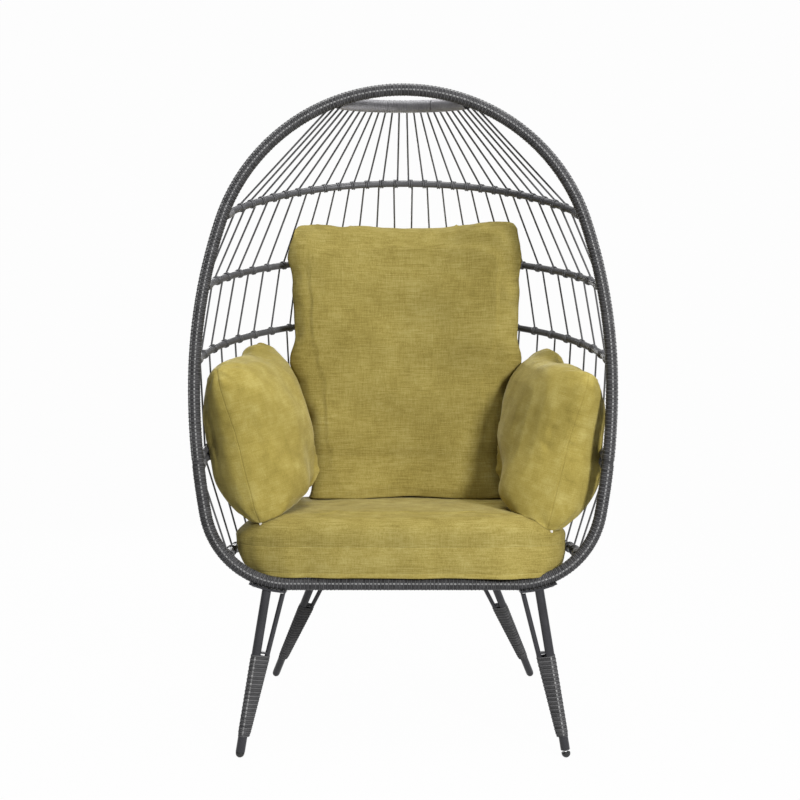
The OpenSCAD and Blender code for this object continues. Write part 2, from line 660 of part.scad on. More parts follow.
// ---- sub-parts
module upper_hoop() {
    color("dimgray") place() difference() {
        upper_path(hoop_r, hoop_r - tube_wall);
        seam_pins(-hoop_out, 0, screw_r + run);
    }
}
module lower_hoop() {
    color("dimgray") place() difference() {
        lower_path(hoop_r, hoop_r - tube_wall, 0);
        both_sides() hoop_plane()
            saddle_pins(front_c, front_saddle_r, front_saddle_a, -hoop_out, 1,
                        bolt_d / 2 + run);
        seam_pins(-hoop_out, 0, screw_r + run);
    }
}
module upper_hoop_wicker() {
    color("gray") place() difference() {
        upper_path(hoop_out, hoop_r + fit);
        seam_pins(-hoop_out - 1, 0, screw_r + fit);
    }
}
module lower_hoop_wicker() {
    color("gray") place() difference() {
        lower_path(hoop_out, hoop_r + fit, 0.02);
        both_sides() hoop_plane()
            saddle_pins(front_c, front_saddle_r, front_saddle_a, -hoop_out, 1,
                        bolt_d / 2 + fit);
        seam_pins(-hoop_out - 1, 0, screw_r + fit);
    }
}
// A spigot inside each seam, held by two screws from behind
spigot_l = 90;
screw_off = 30;
screw_r = 2.5;
module seam_pins(low, high, r) {
    hoop_plane() both_sides() for (s = [-1, 1])
        translate([flank_c[0], 0, low]) rotate([0, 0, split_a + arc_a(s * screw_off, flank_r)])
            translate([flank_r - hoop_out, 0, 0]) cylinder(h = high - low, r = r);
}
module hoop_spigots() {
    half = arc_a(spigot_l / 2, flank_r);
    color("silver") place() difference() {
        hoop_plane() both_sides()
            hoop_arc(flank_c, flank_r, split_a - half, split_a + half,
                     hoop_r - tube_wall - fit, hoop_r - 2 * tube_wall - fit);
        seam_pins(-hoop_out, 0, screw_r + run);
    }
}
module hoop_bolts() {
    color("silver") place() {
        seam_pins(-hoop_out - gap, -hoop_r + 2 * tube_wall + 3, screw_r);
        seam_pins(-hoop_out - gap - 2.5, -hoop_out - gap, 4.5);
    }
}
module crown_bar() {
    color("dimgray") place() rib_ring(CROWN, crown_d / 2, crown_d / 2 - tube_wall);
}
module crown_winding() {
    color("gray") place() rib_ring(CROWN, CROWN[5], crown_d / 2 + fit);
}
module top_rib() { color("dimgray") place() rib_ring(RIB_1, rib_r, rib_r - tube_wall); }
module second_rib() { color("dimgray") place() rib_ring(RIB_2, rib_r, rib_r - tube_wall); }
module third_rib() { color("dimgray") place() rib_ring(RIB_3, rib_r, rib_r - tube_wall); }
// Upright bolts hold the two joining rails together
rail_bolt_r = 2.5;
rail_head = rib_r + 1;      // from a rail's middle to the flat of a head or a nut
module rail_pins(low, high, r) {
    for (t = [-60, 0, 60])
        translate(rib_at(RAIL_L, t)) translate([0, 0, low]) cylinder(h = high - low, r = r);
}
module upper_rail() {
    color("dimgray") place() difference() {
        rib_ring(RAIL_U, rib_r, rib_r - tube_wall);
        rail_pins(-far / 4, far / 4, rail_bolt_r + fit);
    }
}
module lower_rail() {
    color("dimgray") place() difference() {
        rib_ring(RAIL_L, rib_r, rib_r - tube_wall);
        rail_pins(-far / 4, far / 4, rail_bolt_r + fit);
    }
}
module rail_bolts() {
    color("silver") place() {
        rail_pins(-rail_head, 2 * rail_lift + rail_head, rail_bolt_r);
        rail_pins(2 * rail_lift + rail_head, 2 * rail_lift + rail_head + 3, 4);
        rail_pins(-rail_head - 4, -rail_head, 4);
    }
}
module seat_rail() {
    color("dimgray") place()
        rib_ring(SEAT_RAIL, seat_rail_d / 2, seat_rail_d / 2 - tube_wall);
}
module rear_seat_bar() {
    stop_a = bend_a - arc_a(rear_stop, rear_bend_r);
    color("dimgray") place() difference() {
        rear_plane() {
            both_sides() translate([rear_c[0], rear_c[1], 0]) rotate([0, 0, -90])
                rotate_extrude(angle = stop_a, $fn = 180) translate([rear_bend_r, 0])
                    bar_section();
            translate([-rear_flat, rear_bar_z, 0]) rotate([0, 90, 0])
                linear_extrude(2 * rear_flat) bar_section();
        }
        both_sides() rear_plane()
            saddle_pins(rear_c, rear_saddle_r, rear_saddle_a, -rear_bar_r, 1,
                        bolt_d / 2 + run);
    }
}
module bar_section() {
    difference() {
        circle(r = rear_bar_r);
        circle(r = rear_bar_r - tube_wall);
    }
}
module seat_bars() {
    color("dimgray") place() for (side = [-1, 1])
        difference() {
            seat_bar(side, seat_bar_r, 0);
            seat_bar(side, seat_bar_r - tube_wall, 1);
        }
}
module seat_bar(side, r, past) {
    rod([side * seat_bar_x, front_bar_y + hoop_out + gap - past, seat_bar_z],
        [side * seat_bar_x, rear_bar_y - rear_bar_r - gap + past, seat_bar_z], r);
}
module seat_cords() {
    // a cord's lower side meets a bar where the bar's side has this half width
    front_y = front_bar_y + gap + sqrt(pow(hoop_out, 2)
              - pow(seat_cord_z - cord_r - bar_z, 2));
    rear_y = rear_bar_y - gap - sqrt(pow(rear_bar_r, 2)
             - pow(seat_cord_z - cord_r - rear_bar_z, 2));
    color("gray") place() for (i = [0 : seat_cords_n - 1]) {
        x = (i - (seat_cords_n - 1) / 2) * seat_cord_pitch;
        rod([x, front_y, seat_cord_z], [x, rear_y, seat_cord_z], cord_r);
    }
}
module shell_cords_1() { shell_cords(CROWN, crown_step, RIB_1, rib_1_step); }
module shell_cords_2() { shell_cords(RIB_1, rib_1_step, RIB_2, rib_2_step); }
module shell_cords_3() { shell_cords(RIB_2, rib_2_step, RIB_3, rib_3_step); }
module shell_cords_4() { shell_cords(RIB_3, rib_3_step, RAIL_U, rail_step); }
module shell_cords_5() { shell_cords(RAIL_L, rail_step, SEAT_RAIL, seat_rail_step); }

module front_right_leg() { front_leg(short_leg); }
module front_left_leg() { mirror([1, 0, 0]) front_leg(0); }
module rear_right_leg() { rear_leg(); }
module rear_left_leg() { mirror([1, 0, 0]) rear_leg(); }
module front_right_wicker() {
    leg_winding(front_tube_top, front_foot, front_brace_top, front_wrap_start, front_wrap_l);
}
module front_left_wicker() { mirror([1, 0, 0]) front_right_wicker(); }
module rear_right_wicker() {
    leg_winding(rear_tube_top, rear_foot, rear_brace_top, rear_wrap_start, rear_wrap_l);
}
module rear_left_wicker() { mirror([1, 0, 0]) rear_right_wicker(); }
module leg_bolts() {
    color("silver") place() both_sides() {
        hoop_plane() {
            saddle_pins(front_c, front_saddle_r, front_saddle_a, -8, saddle_t, bolt_d / 2);
            saddle_pins(front_c, front_saddle_r, front_saddle_a, saddle_t,
                        saddle_t + head_h, head_r);
        }
        rear_plane() {
            saddle_pins(rear_c, rear_saddle_r, rear_saddle_a, -8, saddle_t, bolt_d / 2);
            saddle_pins(rear_c, rear_saddle_r, rear_saddle_a, saddle_t,
                        saddle_t + head_h, head_r);
        }
    }
}
module foot_plugs() {
    color("black") place() {
        foot_plug(front_tube_top, front_foot, short_leg);
        mirror([1, 0, 0]) foot_plug(front_tube_top, front_foot, 0);
        both_sides() foot_plug(rear_tube_top, rear_foot, 0);
    }
}
module front_right_foot() { levelling_foot(front_tube_top, front_foot); }
module front_left_foot() { mirror([1, 0, 0]) front_right_foot(); }
module rear_right_foot() { levelling_foot(rear_tube_top, rear_foot); }
module rear_left_foot() { mirror([1, 0, 0]) rear_right_foot(); }

module seat_cushion() { color("#a2924f") place() soft_form(seat_rings()); }
module back_cushion() { color("#9b8b47") place() soft_form(back_rings()); }
module left_pillow() { color("#a2934e") place() soft_form(pillow_rings()); }
module right_pillow() { mirror([1, 0, 0]) left_pillow(); }

upper_hoop();
lower_hoop();
upper_hoop_wicker();
lower_hoop_wicker();
hoop_spigots();
hoop_bolts();
crown_bar();
crown_winding();
top_rib();
second_rib();
third_rib();
upper_rail();
lower_rail();
rail_bolts();
seat_rail();
rear_seat_bar();
seat_bars();
seat_cords();
shell_cords_1();
shell_cords_2();
shell_cords_3();
shell_cords_4();
shell_cords_5();
front_left_leg();
front_right_leg();
rear_left_leg();
rear_right_leg();
front_left_wicker();
front_right_wicker();
rear_left_wicker();
rear_right_wicker();
leg_bolts();
foot_plugs();
front_left_foot();
front_right_foot();
rear_left_foot();
rear_right_foot();
seat_cushion();
back_cushion();
left_pillow();
right_pillow();
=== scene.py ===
import math

import bmesh
import bpy
import numpy as np
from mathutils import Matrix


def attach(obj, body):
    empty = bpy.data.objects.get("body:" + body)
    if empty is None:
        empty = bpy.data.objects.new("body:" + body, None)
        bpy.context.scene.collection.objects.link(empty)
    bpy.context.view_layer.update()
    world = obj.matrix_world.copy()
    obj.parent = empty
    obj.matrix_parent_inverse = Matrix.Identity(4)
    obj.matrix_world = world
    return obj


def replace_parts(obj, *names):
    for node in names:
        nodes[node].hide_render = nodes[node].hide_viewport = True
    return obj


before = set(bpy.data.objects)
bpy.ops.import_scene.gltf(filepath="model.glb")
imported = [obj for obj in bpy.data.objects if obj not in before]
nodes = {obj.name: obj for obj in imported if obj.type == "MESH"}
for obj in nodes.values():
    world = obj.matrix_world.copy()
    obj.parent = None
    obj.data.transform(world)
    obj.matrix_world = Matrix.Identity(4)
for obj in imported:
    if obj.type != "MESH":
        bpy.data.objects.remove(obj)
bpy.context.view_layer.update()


# ---------------------------------------------------------------------------
# The studio: a level camera in front of the chair, a white floor that turns up
# into a white wall, and soft lamps, the strongest from the front right and one
# from behind for the chair's back.
# ---------------------------------------------------------------------------
class Wire:
    """One output of a material's node. Sums written with it add their Math nodes."""

    def __init__(self, finish, socket):
        self.finish, self.socket = finish, socket

    def math(self, operation, *others):
        return self.finish.node("ShaderNodeMath", {"operation": operation},
                                dict(enumerate((self,) + others)))

    def __add__(self, other):
        return self.math("ADD", other)

    def __sub__(self, other):
        return self.math("SUBTRACT", other)

    def __mul__(self, other):
        return self.math("MULTIPLY", other)

    def __truediv__(self, other):
        return self.math("DIVIDE", other)

    def __pow__(self, other):
        return self.math("POWER", other)

    def __rsub__(self, other):
        return (self * -1.0) + other

    __radd__, __rmul__ = __add__, __mul__

    def clamp(self):
        return self.finish.node("ShaderNodeClamp", {}, {"Value": self})


class Finish:
    """One material, built node by node."""

    def __init__(self, name):
        self.material = bpy.data.materials.new(name)
        self.material.use_nodes = True
        self.tree = self.material.node_tree
        self.tree.nodes.clear()
        self.end = self.tree.nodes.new("ShaderNodeOutputMaterial")

    def node(self, kind, settings=None, sockets=None, out=0):
        """Adds a node: its settings first, then the values or wires of its sockets."""
        made = self.tree.nodes.new(kind)
        for key, value in (settings or {}).items():
            setattr(made, key, value)
        for key, value in (sockets or {}).items():
            if isinstance(value, Wire):
                self.tree.links.new(value.socket, made.inputs[key])
            else:
                made.inputs[key].default_value = value
        return Wire(self, made.outputs[out])

    def mix(self, amount, first, second, blend="MIX"):
        """The first colour where amount is 0, the second where it is 1."""
        first, second = (c if isinstance(c, Wire) else (*c, 1.0) for c in (first, second))
        return self.node("ShaderNodeMix", {"data_type": "RGBA", "blend_type": blend},
                         {0: amount, 6: first, 7: second}, out=2)

    def place(self):
        return self.node("ShaderNodeTexCoord", out="Object")

    def noise(self, where, scale, detail=2.0, rough=0.5, stretch=None, turn=(0, 0, 0)):
        """Soft random values near 0.5, turned and stretched along the axes where asked."""
        if stretch:
            where = self.node("ShaderNodeMapping", {}, {"Vector": where, "Rotation": turn,
                                                        "Scale": stretch})
        return self.node("ShaderNodeTexNoise", {}, {"Vector": where, "Scale": scale,
                                                    "Detail": detail, "Roughness": rough})

    def bump(self, height, distance, strength=1.0):
        return self.node("ShaderNodeBump", {}, {"Height": height, "Distance": distance,
                                                "Strength": strength})

    def surface(self, **sockets):
        """The shader, by its sockets' names with _ for a space."""
        named = {key.replace("_", " "): value for key, value in sockets.items()}
        shader = self.node("ShaderNodeBsdfPrincipled", {}, named)
        self.tree.links.new(shader.socket, self.end.inputs["Surface"])
        return self.material


def unseen_rays(finish):
    """1 for the rays by which the camera, a mirror or glass shows a background."""
    rays = [finish.node("ShaderNodeLightPath", out=name)
            for name in ("Is Camera Ray", "Is Glossy Ray", "Is Transmission Ray")]
    return (rays[0] + rays[1] + rays[2]).clamp()


def piece_from(name, points, faces, material, body="frame", uv=None):
    """A smooth piece from its points in metres, riding on its body."""
    mesh = bpy.data.meshes.new(name)
    mesh.from_pydata(np.asarray(points, float).tolist(), [],
                     faces.tolist() if isinstance(faces, np.ndarray) else faces)
    if uv is not None:
        corner = np.zeros(len(mesh.loops), np.int32)
        mesh.loops.foreach_get("vertex_index", corner)
        mesh.uv_layers.new(name="UVMap").data.foreach_set(
            "uv", np.asarray(uv, np.float32)[corner].ravel())
    mesh.polygons.foreach_set("use_smooth", np.ones(len(mesh.polygons), bool))
    mesh.materials.append(material)
    piece = bpy.data.objects.new(name, mesh)
    bpy.context.collection.objects.link(piece)
    if body:
        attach(piece, body)
    return piece


# the picture's side and the lens's reach in pixels, the sensor in millimetres
PICTURE, REACH, SENSOR = 800.0, 950.5, 36.0
lens_data = bpy.data.cameras.new("camera")
lens_data.sensor_width = SENSOR
lens_data.lens = REACH * SENSOR / PICTURE
lens_data.shift_x, lens_data.shift_y = -3.0 / PICTURE, -5.0 / PICTURE
camera = bpy.data.objects.new("camera", lens_data)
camera.location = (0.0, -2.343, 0.78)
camera.rotation_euler = (math.radians(90.0), 0.0, 0.0)
bpy.context.collection.objects.link(camera)
scene = bpy.context.scene
scene.camera = camera
scene.view_settings.view_transform = "Standard"

paper = Finish("studio_paper")
paper_matt = paper.node("ShaderNodeBsdfDiffuse", {}, {"Color": (0.45, 0.45, 0.45, 1.0)})
paper_glow = paper.node("ShaderNodeEmission", {}, {"Color": (1.0, 1.0, 1.0, 1.0)})
paper_both = paper.node("ShaderNodeMixShader", {},
                        {0: unseen_rays(paper) * 0.98, 1: paper_matt, 2: paper_glow})
paper.tree.links.new(paper_both.socket, paper.end.inputs["Surface"])

# flat, then a quarter turn up, then upright: (y, z) along the sheet
cove = np.linspace(0.0, math.pi / 2.0, 17)
paper_line = np.concatenate([[[-9.0, 0.0]],
                             np.stack([3.4 + 1.6 * np.sin(cove), 1.6 - 1.6 * np.cos(cove)], 1),
                             [[5.0, 7.0]]])
paper_points = [(x, y, z) for y, z in paper_line for x in (-9.0, 9.0)]
paper_faces = [(2 * i, 2 * i + 1, 2 * i + 3, 2 * i + 2) for i in range(len(paper_line) - 1)]
piece_from("studio_paper", paper_points, paper_faces, paper.material, body=None)

world = bpy.data.worlds.new("studio_air")
world.use_nodes = True
air = world.node_tree
air_ray = air.nodes.new("ShaderNodeLightPath")
air_level = air.nodes.new("ShaderNodeMath")
air_level.operation = "MULTIPLY_ADD"
air.links.new(air_ray.outputs["Is Camera Ray"], air_level.inputs[0])
air_level.inputs[1].default_value = 0.92
air_level.inputs[2].default_value = 0.08
air.links.new(air_level.outputs[0], air.nodes["Background"].inputs["Strength"])
air.nodes["Background"].inputs["Color"].default_value = (1.0, 1.0, 1.0, 1.0)
scene.world = world


def soft_lamp(name, at, towards, size, watts):
    """A round lamp of that width, turned from its place to a point."""
    data = bpy.data.lights.new(name, "AREA")
    data.shape, data.size, data.energy = "DISK", size, watts
    lamp = bpy.data.objects.new(name, data)
    aim = np.subtract(towards, at)
    lamp.location = at
    lamp.rotation_euler = (math.atan2(math.hypot(aim[0], aim[1]), -aim[2]), 0.0,
                           math.atan2(aim[1], aim[0]) - math.pi / 2.0)
    bpy.context.collection.objects.link(lamp)


soft_lamp("key_lamp", (1.75, -3.05, 1.75), (0.0, 0.0, 0.8), 0.65, 120.0)
soft_lamp("fill_lamp", (-1.6, -3.3, 1.5), (0.0, 0.0, 0.7), 2.0, 11.0)
soft_lamp("top_lamp", (0.0, -0.4, 3.5), (0.0, 0.0, 0.8), 2.0, 78.0)
soft_lamp("rear_lamp", (-0.9, 3.1, 1.9), (0.0, 0.0, 0.8), 2.0, 55.0)


# ---------------------------------------------------------------------------
# The hoop: two bent steel tubes, powder coated, that meet in a seam on each
# flank over a spigot, and are wound closely with flat wicker strip. One more
# strip is laid along the front, over one turn and under the next; its far lighter
# grey is a painted highlight, and a second light strip further out on the upper
# hoop is a painted highlight too.
# ---------------------------------------------------------------------------
def powder_coat(name, shade, matt=0.38):
    """Baked paint with a fine orange peel and slightly rubbed patches."""
    paint = Finish(name)
    here = paint.place()
    peel = paint.noise(here, 900.0, 3.0, 0.55)
    rubbed = paint.noise(here, 17.0, 4.0)
    return paint.surface(
        Base_Color=paint.mix(((rubbed - 0.35) * 2.0).clamp(), shade,
                             tuple(1.4 * c for c in shade)),
        Roughness=(rubbed - 0.5) * 0.3 + matt, Specular_IOR_Level=0.25,
        Coat_Weight=0.06, Coat_Roughness=0.25,
        Normal=paint.bump(peel, 0.00012, 0.4))


def paint_node(material, *names):
    """Gives CAD nodes their finish."""
    for name in names:
        slots = nodes[name].data.materials
        slots.clear()
        slots.append(material)


frame_paint = powder_coat("frame_paint", (0.072, 0.072, 0.076))
paint_node(frame_paint, "upper_hoop", "lower_hoop", "hoop_spigots")


def wicker(name, dark, light):
    """Flat extruded strip: fine grooves along it, each turn a little its own tone at
    random, and every second turn painted lighter because it lies higher, a painted
    highlight. Each turn is painted dark towards its edges, painted shade in the gaps
    between turns, and the hollows of the fine grooves a little darker, painted shade.
    The first map axis counts turns, the second runs along the strip."""
    strip = Finish(name)
    uv = strip.node("ShaderNodeTexCoord", out="UV")
    turn = strip.node("ShaderNodeSeparateXYZ", {}, {0: uv}, out=0)
    across = turn.math("FRACT")
    each = strip.node("ShaderNodeTexWhiteNoise", {"noise_dimensions": "1D"},
                      {"W": turn.math("FLOOR")})
    # groove: fine grooves along the strip for the bump; in the colour their hollows are a little darker,
    # painted shade
    groove = (across * 44.0).math("SINE") * 0.5 + 0.5
    patch = strip.noise(strip.place(), 55.0, 3.0)
    # painted shade: each turn darker towards its edges, in the gaps between turns
    edge = ((across - 0.46).math("ABSOLUTE") * 2.0) ** 4.0
    # painted highlight: every second turn, which lies higher, is painted lighter
    raised_turn_highlight = (turn * 0.5).math("FRACT").math("GREATER_THAN", 0.5)
    tone = (each * 0.4 + raised_turn_highlight * 0.35 + patch * 0.5 + groove * 0.1 - edge * 0.8).clamp()
    return strip.surface(
        Base_Color=strip.mix(tone, dark, light), Roughness=each * 0.14 + 0.45,
        Specular_IOR_Level=0.2,
        Normal=strip.bump(groove + patch, 0.00015, 0.5))


hoop_wicker = wicker("hoop_wicker", (0.018, 0.018, 0.019), (0.088, 0.087, 0.090))
# the laid strips get a far lighter grey than the winding: a painted highlight along each strip
laid_wicker_highlight = wicker("laid_wicker_highlight", (0.13, 0.13, 0.13), (0.30, 0.30, 0.30))

HOOP_OUT, PIVOT_Z, MID_Y = 13.5, 813.0, 243.0
LEAN = math.radians(3.0)
SPLIT_A, TOP_A = math.radians(-6.71728), math.radians(17.5302)
FLANK_A = math.radians(-10.9846)
TOP_ARC = (np.array([0.0, 227.0]), 440.0)
SHOULDER_ARC = (np.array([-718.63, 0.0]), 1193.63)
FLANK_ARC = (np.array([-1089.5, 0.0]), 1564.5)
CORNER_ARC = (np.array([250.0, -260.0]), 200.0)
HOOP_FRONT = np.array([0.0, -math.cos(LEAN), math.sin(LEAN)])


def unit(v):
    return v / np.linalg.norm(v, axis=-1, keepdims=True)


def in_chair(points):
    """From millimetres, y counted from the hoop's pivot line, to metres in the frame."""
    return (np.asarray(points, float) - [0.0, MID_Y, 0.0]) * 0.001


def arc_line(arc, start, end):
    """Points of the tube's middle along an arc of the hoop: c + r (cos t, sin t)."""
    c, r = arc[0], arc[1] - HOOP_OUT
    t = np.linspace(start, end, int(abs(end - start) * r))
    return c + r * np.stack([np.cos(t), np.sin(t)], 1)


def hoop_line(half, middle):
    """The middle line from the seam on the right flank to the one on the left, from
    its right half and its middle, with the left half as their mirror image."""
    left = half[::-1] * [-1.0, 1.0]
    x, v = np.concatenate([half, middle[1:-1], left]).T
    return np.stack([x, v * math.sin(LEAN), PIVOT_Z + v * math.cos(LEAN)], 1)


upper_line = hoop_line(
    np.concatenate([arc_line(FLANK_ARC, SPLIT_A, 0.0)[:-1], arc_line(SHOULDER_ARC, 0.0, TOP_A)]),
    arc_line(TOP_ARC, TOP_A, math.pi - TOP_A))
low_v = CORNER_ARC[0][1] - CORNER_ARC[1] + HOOP_OUT
lower_line = hoop_line(
    np.concatenate([arc_line(FLANK_ARC, SPLIT_A, FLANK_A)[:-1],
                    arc_line(CORNER_ARC, FLANK_A, -math.pi / 2.0)]),
    np.stack([np.linspace(250.0, -250.0, 501), np.full(501, low_v)], 1))


def along(line, at):
    """Place and direction at the lengths in at, measured along a line of points."""
    length = np.concatenate([[0.0], np.cumsum(np.linalg.norm(np.diff(line, axis=0), axis=1))])
    reach = lambda s: np.stack([np.interp(s, length, line[:, k]) for k in range(3)], -1)
    s = np.clip(at, 0.0, length[-1])
    return reach(s), unit(reach(np.minimum(s + 0.8, length[-1])) - reach(np.maximum(s - 0.8, 0)))


def line_length(line):
    return float(np.linalg.norm(np.diff(line, axis=0), axis=1).sum())


def round_bar(middle, way, normal, r, a):
    """Points round a bar: middle + r (cos a (way x normal) + sin a normal)."""
    side = unit(np.cross(way, normal))
    return middle + (r * np.cos(a))[..., None] * side + (r * np.sin(a))[..., None] * normal


def sheet_quads(rows, columns, closed=False, climb=0):
    """Quads of a grid of points. A closed grid's last column joins its first one,
    climb rows further on."""
    i = np.arange(rows - 1 - climb)[:, None]
    j = np.arange(columns if closed else columns - 1)[None, :]
    last = (j == columns - 1) * climb
    a, b = i * columns + j, (i + last) * columns + (j + 1) % columns
    return np.stack([a, a + columns, b + columns, b], -1).reshape(-1, 4)


# cross-section of a flat strip and of a round cord: place across it, depth under its top
FLAT_STRIP = np.array([[0.0, -1.2], [0.13, -0.24], [0.34, 0.0], [0.62, 0.0], [0.86, -0.24]])
ROUND_CORD = np.array([[0.0, -1.9], [0.13, -0.72], [0.32, -0.12], [0.68, -0.12], [0.87, -0.72]])


def wound(name, line, normal, r, pitch, section, material, around=24, uneven=0.1,
          start=0.0, end=None, over=0.0, ends=0.0):
    """A strip wound on a bar. Each turn climbs one pitch: place = (turn + a / 2 pi) pitch,
    and the radius is r + the section's depth, with a slow unevenness from turn to turn.
    Every second turn lies higher by 2 over, and both ends are thinner by ends."""
    end = line_length(line) if end is None else end
    turns = int((end - start) / pitch) + 2
    t = (np.arange(-1, turns)[:, None] + section[:, 0]).ravel()
    depth = np.tile(section[:, 1], turns + 1)
    depth = depth + uneven * (np.sin(2.9 * np.floor(t)) + 0.7 * np.sin(7.3 * np.floor(t)))
    depth = (depth + over * (2.0 * (np.floor(t) % 2.0) - 1.0))[:, None]
    a = np.linspace(0.0, 2.0 * math.pi, around, endpoint=False)
    s = np.clip(start + (t[:, None] + a / (2.0 * math.pi)) * pitch, start, end)
    thin = ends * (np.exp(-((s - start) / 6.0) ** 2) + np.exp(-((end - s) / 6.0) ** 2))
    middle, way = along(line, s)
    points = round_bar(middle, way, normal, r + depth - thin, a + 0.0 * s)
    uv = np.stack([t[:, None] + 0.0 * s, a * r * 0.1 + 0.0 * s], -1).reshape(-1, 2)
    return piece_from(name, in_chair(points).reshape(-1, 3),
                      sheet_quads(len(t), around, True, len(section)), material,
                      uv=uv)


STRIP_PITCH = 4.15
for part, line in (("upper_hoop", upper_line), ("lower_hoop", lower_line)):
    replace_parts(wound(part + "_winding", line, HOOP_FRONT, HOOP_OUT, STRIP_PITCH, FLAT_STRIP,
                      hoop_wicker, around=26, over=0.22, ends=1.1), part + "_wicker")


def laid_strip(name, line, normal, r, angles, pitch, width=4.0, phase=0.0):
    """A strip along a wound bar, at angles in degrees at the line's start, middle and end.
    Its height is a wave that is two turns long, so that it shows over every second turn
    and dips under the next."""
    full = line_length(line)
    s = np.arange(4.0, full - 4.0, pitch / 4.0)
    middle, way = along(line, s)
    angle = np.radians(np.interp(s, [0.0, full / 2.0, full], angles))
    turn = s / pitch - angle / (2.0 * math.pi) + phase
    lift = 0.2 + 0.8 * np.cos(math.pi * (turn - 0.5))
    across = np.array([-0.5, -0.44, -0.2, 0.2, 0.44, 0.5])
    drop = np.array([-1.3, -0.12, 0.0, 0.0, -0.12, -1.3])
    a = angle[:, None] + across * width / r
    points = round_bar(middle[:, None], way[:, None], normal, r + lift[:, None] + drop, a)
    uv = np.stack([across + 0.5 + np.floor(turn / 2.0)[:, None], s[:, None] * 0.1 + 0.0 * a],
                  -1).reshape(-1, 2)
    return piece_from(name, in_chair(points).reshape(-1, 3), sheet_quads(len(s), 6),
                      laid_wicker_highlight, uv=uv)


# light strips, a painted highlight: one along the front of each hoop tube, and one further out on the upper
# hoop where the turns catch the light
for strip_name, line, angles in (("upper_hoop_strip", upper_line, [90.0, 108.0, 103.0]),
                                 ("upper_hoop_highlight_strip", upper_line, [40.0, 58.0, 53.0]),
                                 ("lower_hoop_strip", lower_line, [90.0, 82.0, 77.0])):
    laid_strip(strip_name, line, HOOP_FRONT, HOOP_OUT, angles, STRIP_PITCH)


# ---------------------------------------------------------------------------
# Ribs, joining rails, seat rail and crown bar: bent tubes behind the hoop, in
# the same paint. Each is an arc from the hoop round the back to the hoop.
# ---------------------------------------------------------------------------
class Rib:
    """A bent tube behind the hoop, from its half chord, front height, reach back, rise
    and outer radius, with the same construction as the solids."""

    def __init__(self, half, z, depth, rise, r):
        v = (z - PIVOT_Z) / math.cos(LEAN)
        start = v * math.sin(LEAN) + HOOP_OUT + 0.3
        back = depth - start + v * math.sin(LEAN)
        sag = math.hypot(back, rise)
        self.r, self.radius = r, (half * half + sag * sag) / (2.0 * sag)
        self.tilt = math.atan2(rise, back)
        self.end = math.acos(1.0 - sag / self.radius)
        m = sag - self.radius
        self.middle = np.array([0.0, start + m * math.cos(self.tilt),
                                z + m * math.sin(self.tilt)])
        self.normal = np.array([0.0, -math.sin(self.tilt), math.cos(self.tilt)])

    def out(self, t):
        """From the arc's middle outwards, at angle t from the back."""
        return np.stack([np.sin(t), np.cos(t) * math.cos(self.tilt),
                         np.cos(t) * math.sin(self.tilt)], -1)

    def at(self, t):
        return self.middle + self.radius * self.out(t)

    def way(self, t):
        return np.stack([np.cos(t), -np.sin(t) * math.cos(self.tilt),
                         -np.sin(t) * math.sin(self.tilt)], -1)

    def line(self, start, end):
        """Points of the tube's middle between two angles."""
        return self.at(np.linspace(start, end, max(8, int(abs(end - start) * self.radius))))


def hoop_half(z):
    """Half width of the hoop's middle line at height z."""
    edges = np.concatenate([lower_line, upper_line])
    right = edges[edges[:, 0] > 0.0]
    order = np.argsort(right[:, 2])
    return float(np.interp(z, right[order, 2], right[order, 0]))


RAIL_Z = PIVOT_Z - 183.0 * math.cos(LEAN)
CROWN_Z = PIVOT_Z + (227.0 + math.sqrt((440.0 - HOOP_OUT) ** 2 - 145.0 ** 2)) * math.cos(LEAN)
rib_1 = Rib(hoop_half(1183.0), 1183.0, 270.0, 128.0, 8.0)
rib_2 = Rib(hoop_half(1022.0), 1022.0, 410.0, 121.0, 8.0)
rib_3 = Rib(hoop_half(854.0), 854.0, 470.0, 130.0, 8.0)
rail_up = Rib(hoop_half(RAIL_Z + 9.0), RAIL_Z + 9.0, 485.0, 105.0, 8.0)
rail_low = Rib(hoop_half(RAIL_Z - 9.0), RAIL_Z - 9.0, 485.0, 105.0, 8.0)
seat_rail = Rib(hoop_half(424.0), 424.0, 490.0, 0.0, 10.0)
crown = Rib(145.0, CROWN_Z, 90.0, 14.0, 14.5)
paint_node(frame_paint, "crown_bar", "top_rib", "second_rib", "third_rib", "upper_rail",
           "lower_rail", "seat_rail")


# ---------------------------------------------------------------------------
# Crown winding: round cord wound closely on the crown bar, in three lengths
# that were started afresh where one hank ended.
# ---------------------------------------------------------------------------
def round_cord(name, dark, light):
    """Extruded round cord: faint lines along it and a soft change of tone."""
    cord = Finish(name)
    tone = cord.noise(cord.place(), 42.0, 3.0, 0.6)
    lines = cord.noise(cord.node("ShaderNodeTexCoord", out="UV"), 3.0, 2.0, 0.5,
                       stretch=(0.2, 9.0, 1.0))
    return cord.surface(
        Base_Color=cord.mix(((tone - 0.3) * 2.4).clamp(), dark, light),
        Roughness=(tone - 0.5) * 0.3 + 0.4, Normal=cord.bump(lines, 0.0001, 0.5))


cord_finish = round_cord("shell_cord", (0.055, 0.055, 0.058), (0.105, 0.105, 0.110))
crown_finish = round_cord("crown_cord", (0.225, 0.22, 0.234), (0.335, 0.33, 0.346))
CORD_R = 2.25

crown_line = crown.line(-crown.end, crown.end)
crown_length = line_length(crown_line)
crown_x = crown.at(np.linspace(-crown.end, crown.end, 400))[:, 0]
hank_ends = np.interp([-38.0, 68.0], crown_x, np.linspace(0.0, crown_length, 400))
hanks = [0.0, *hank_ends.tolist(), crown_length]
for k in range(3):
    hank = wound(f"crown_winding_{k + 1}", crown_line, crown.normal, 14.5, 4.2, ROUND_CORD,
                 crown_finish, uneven=0.07, start=hanks[k] + 0.5 * (k > 0),
                 end=hanks[k + 1] - 0.5 * (k < 2))
    if k == 1:
        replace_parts(hank, "crown_winding")


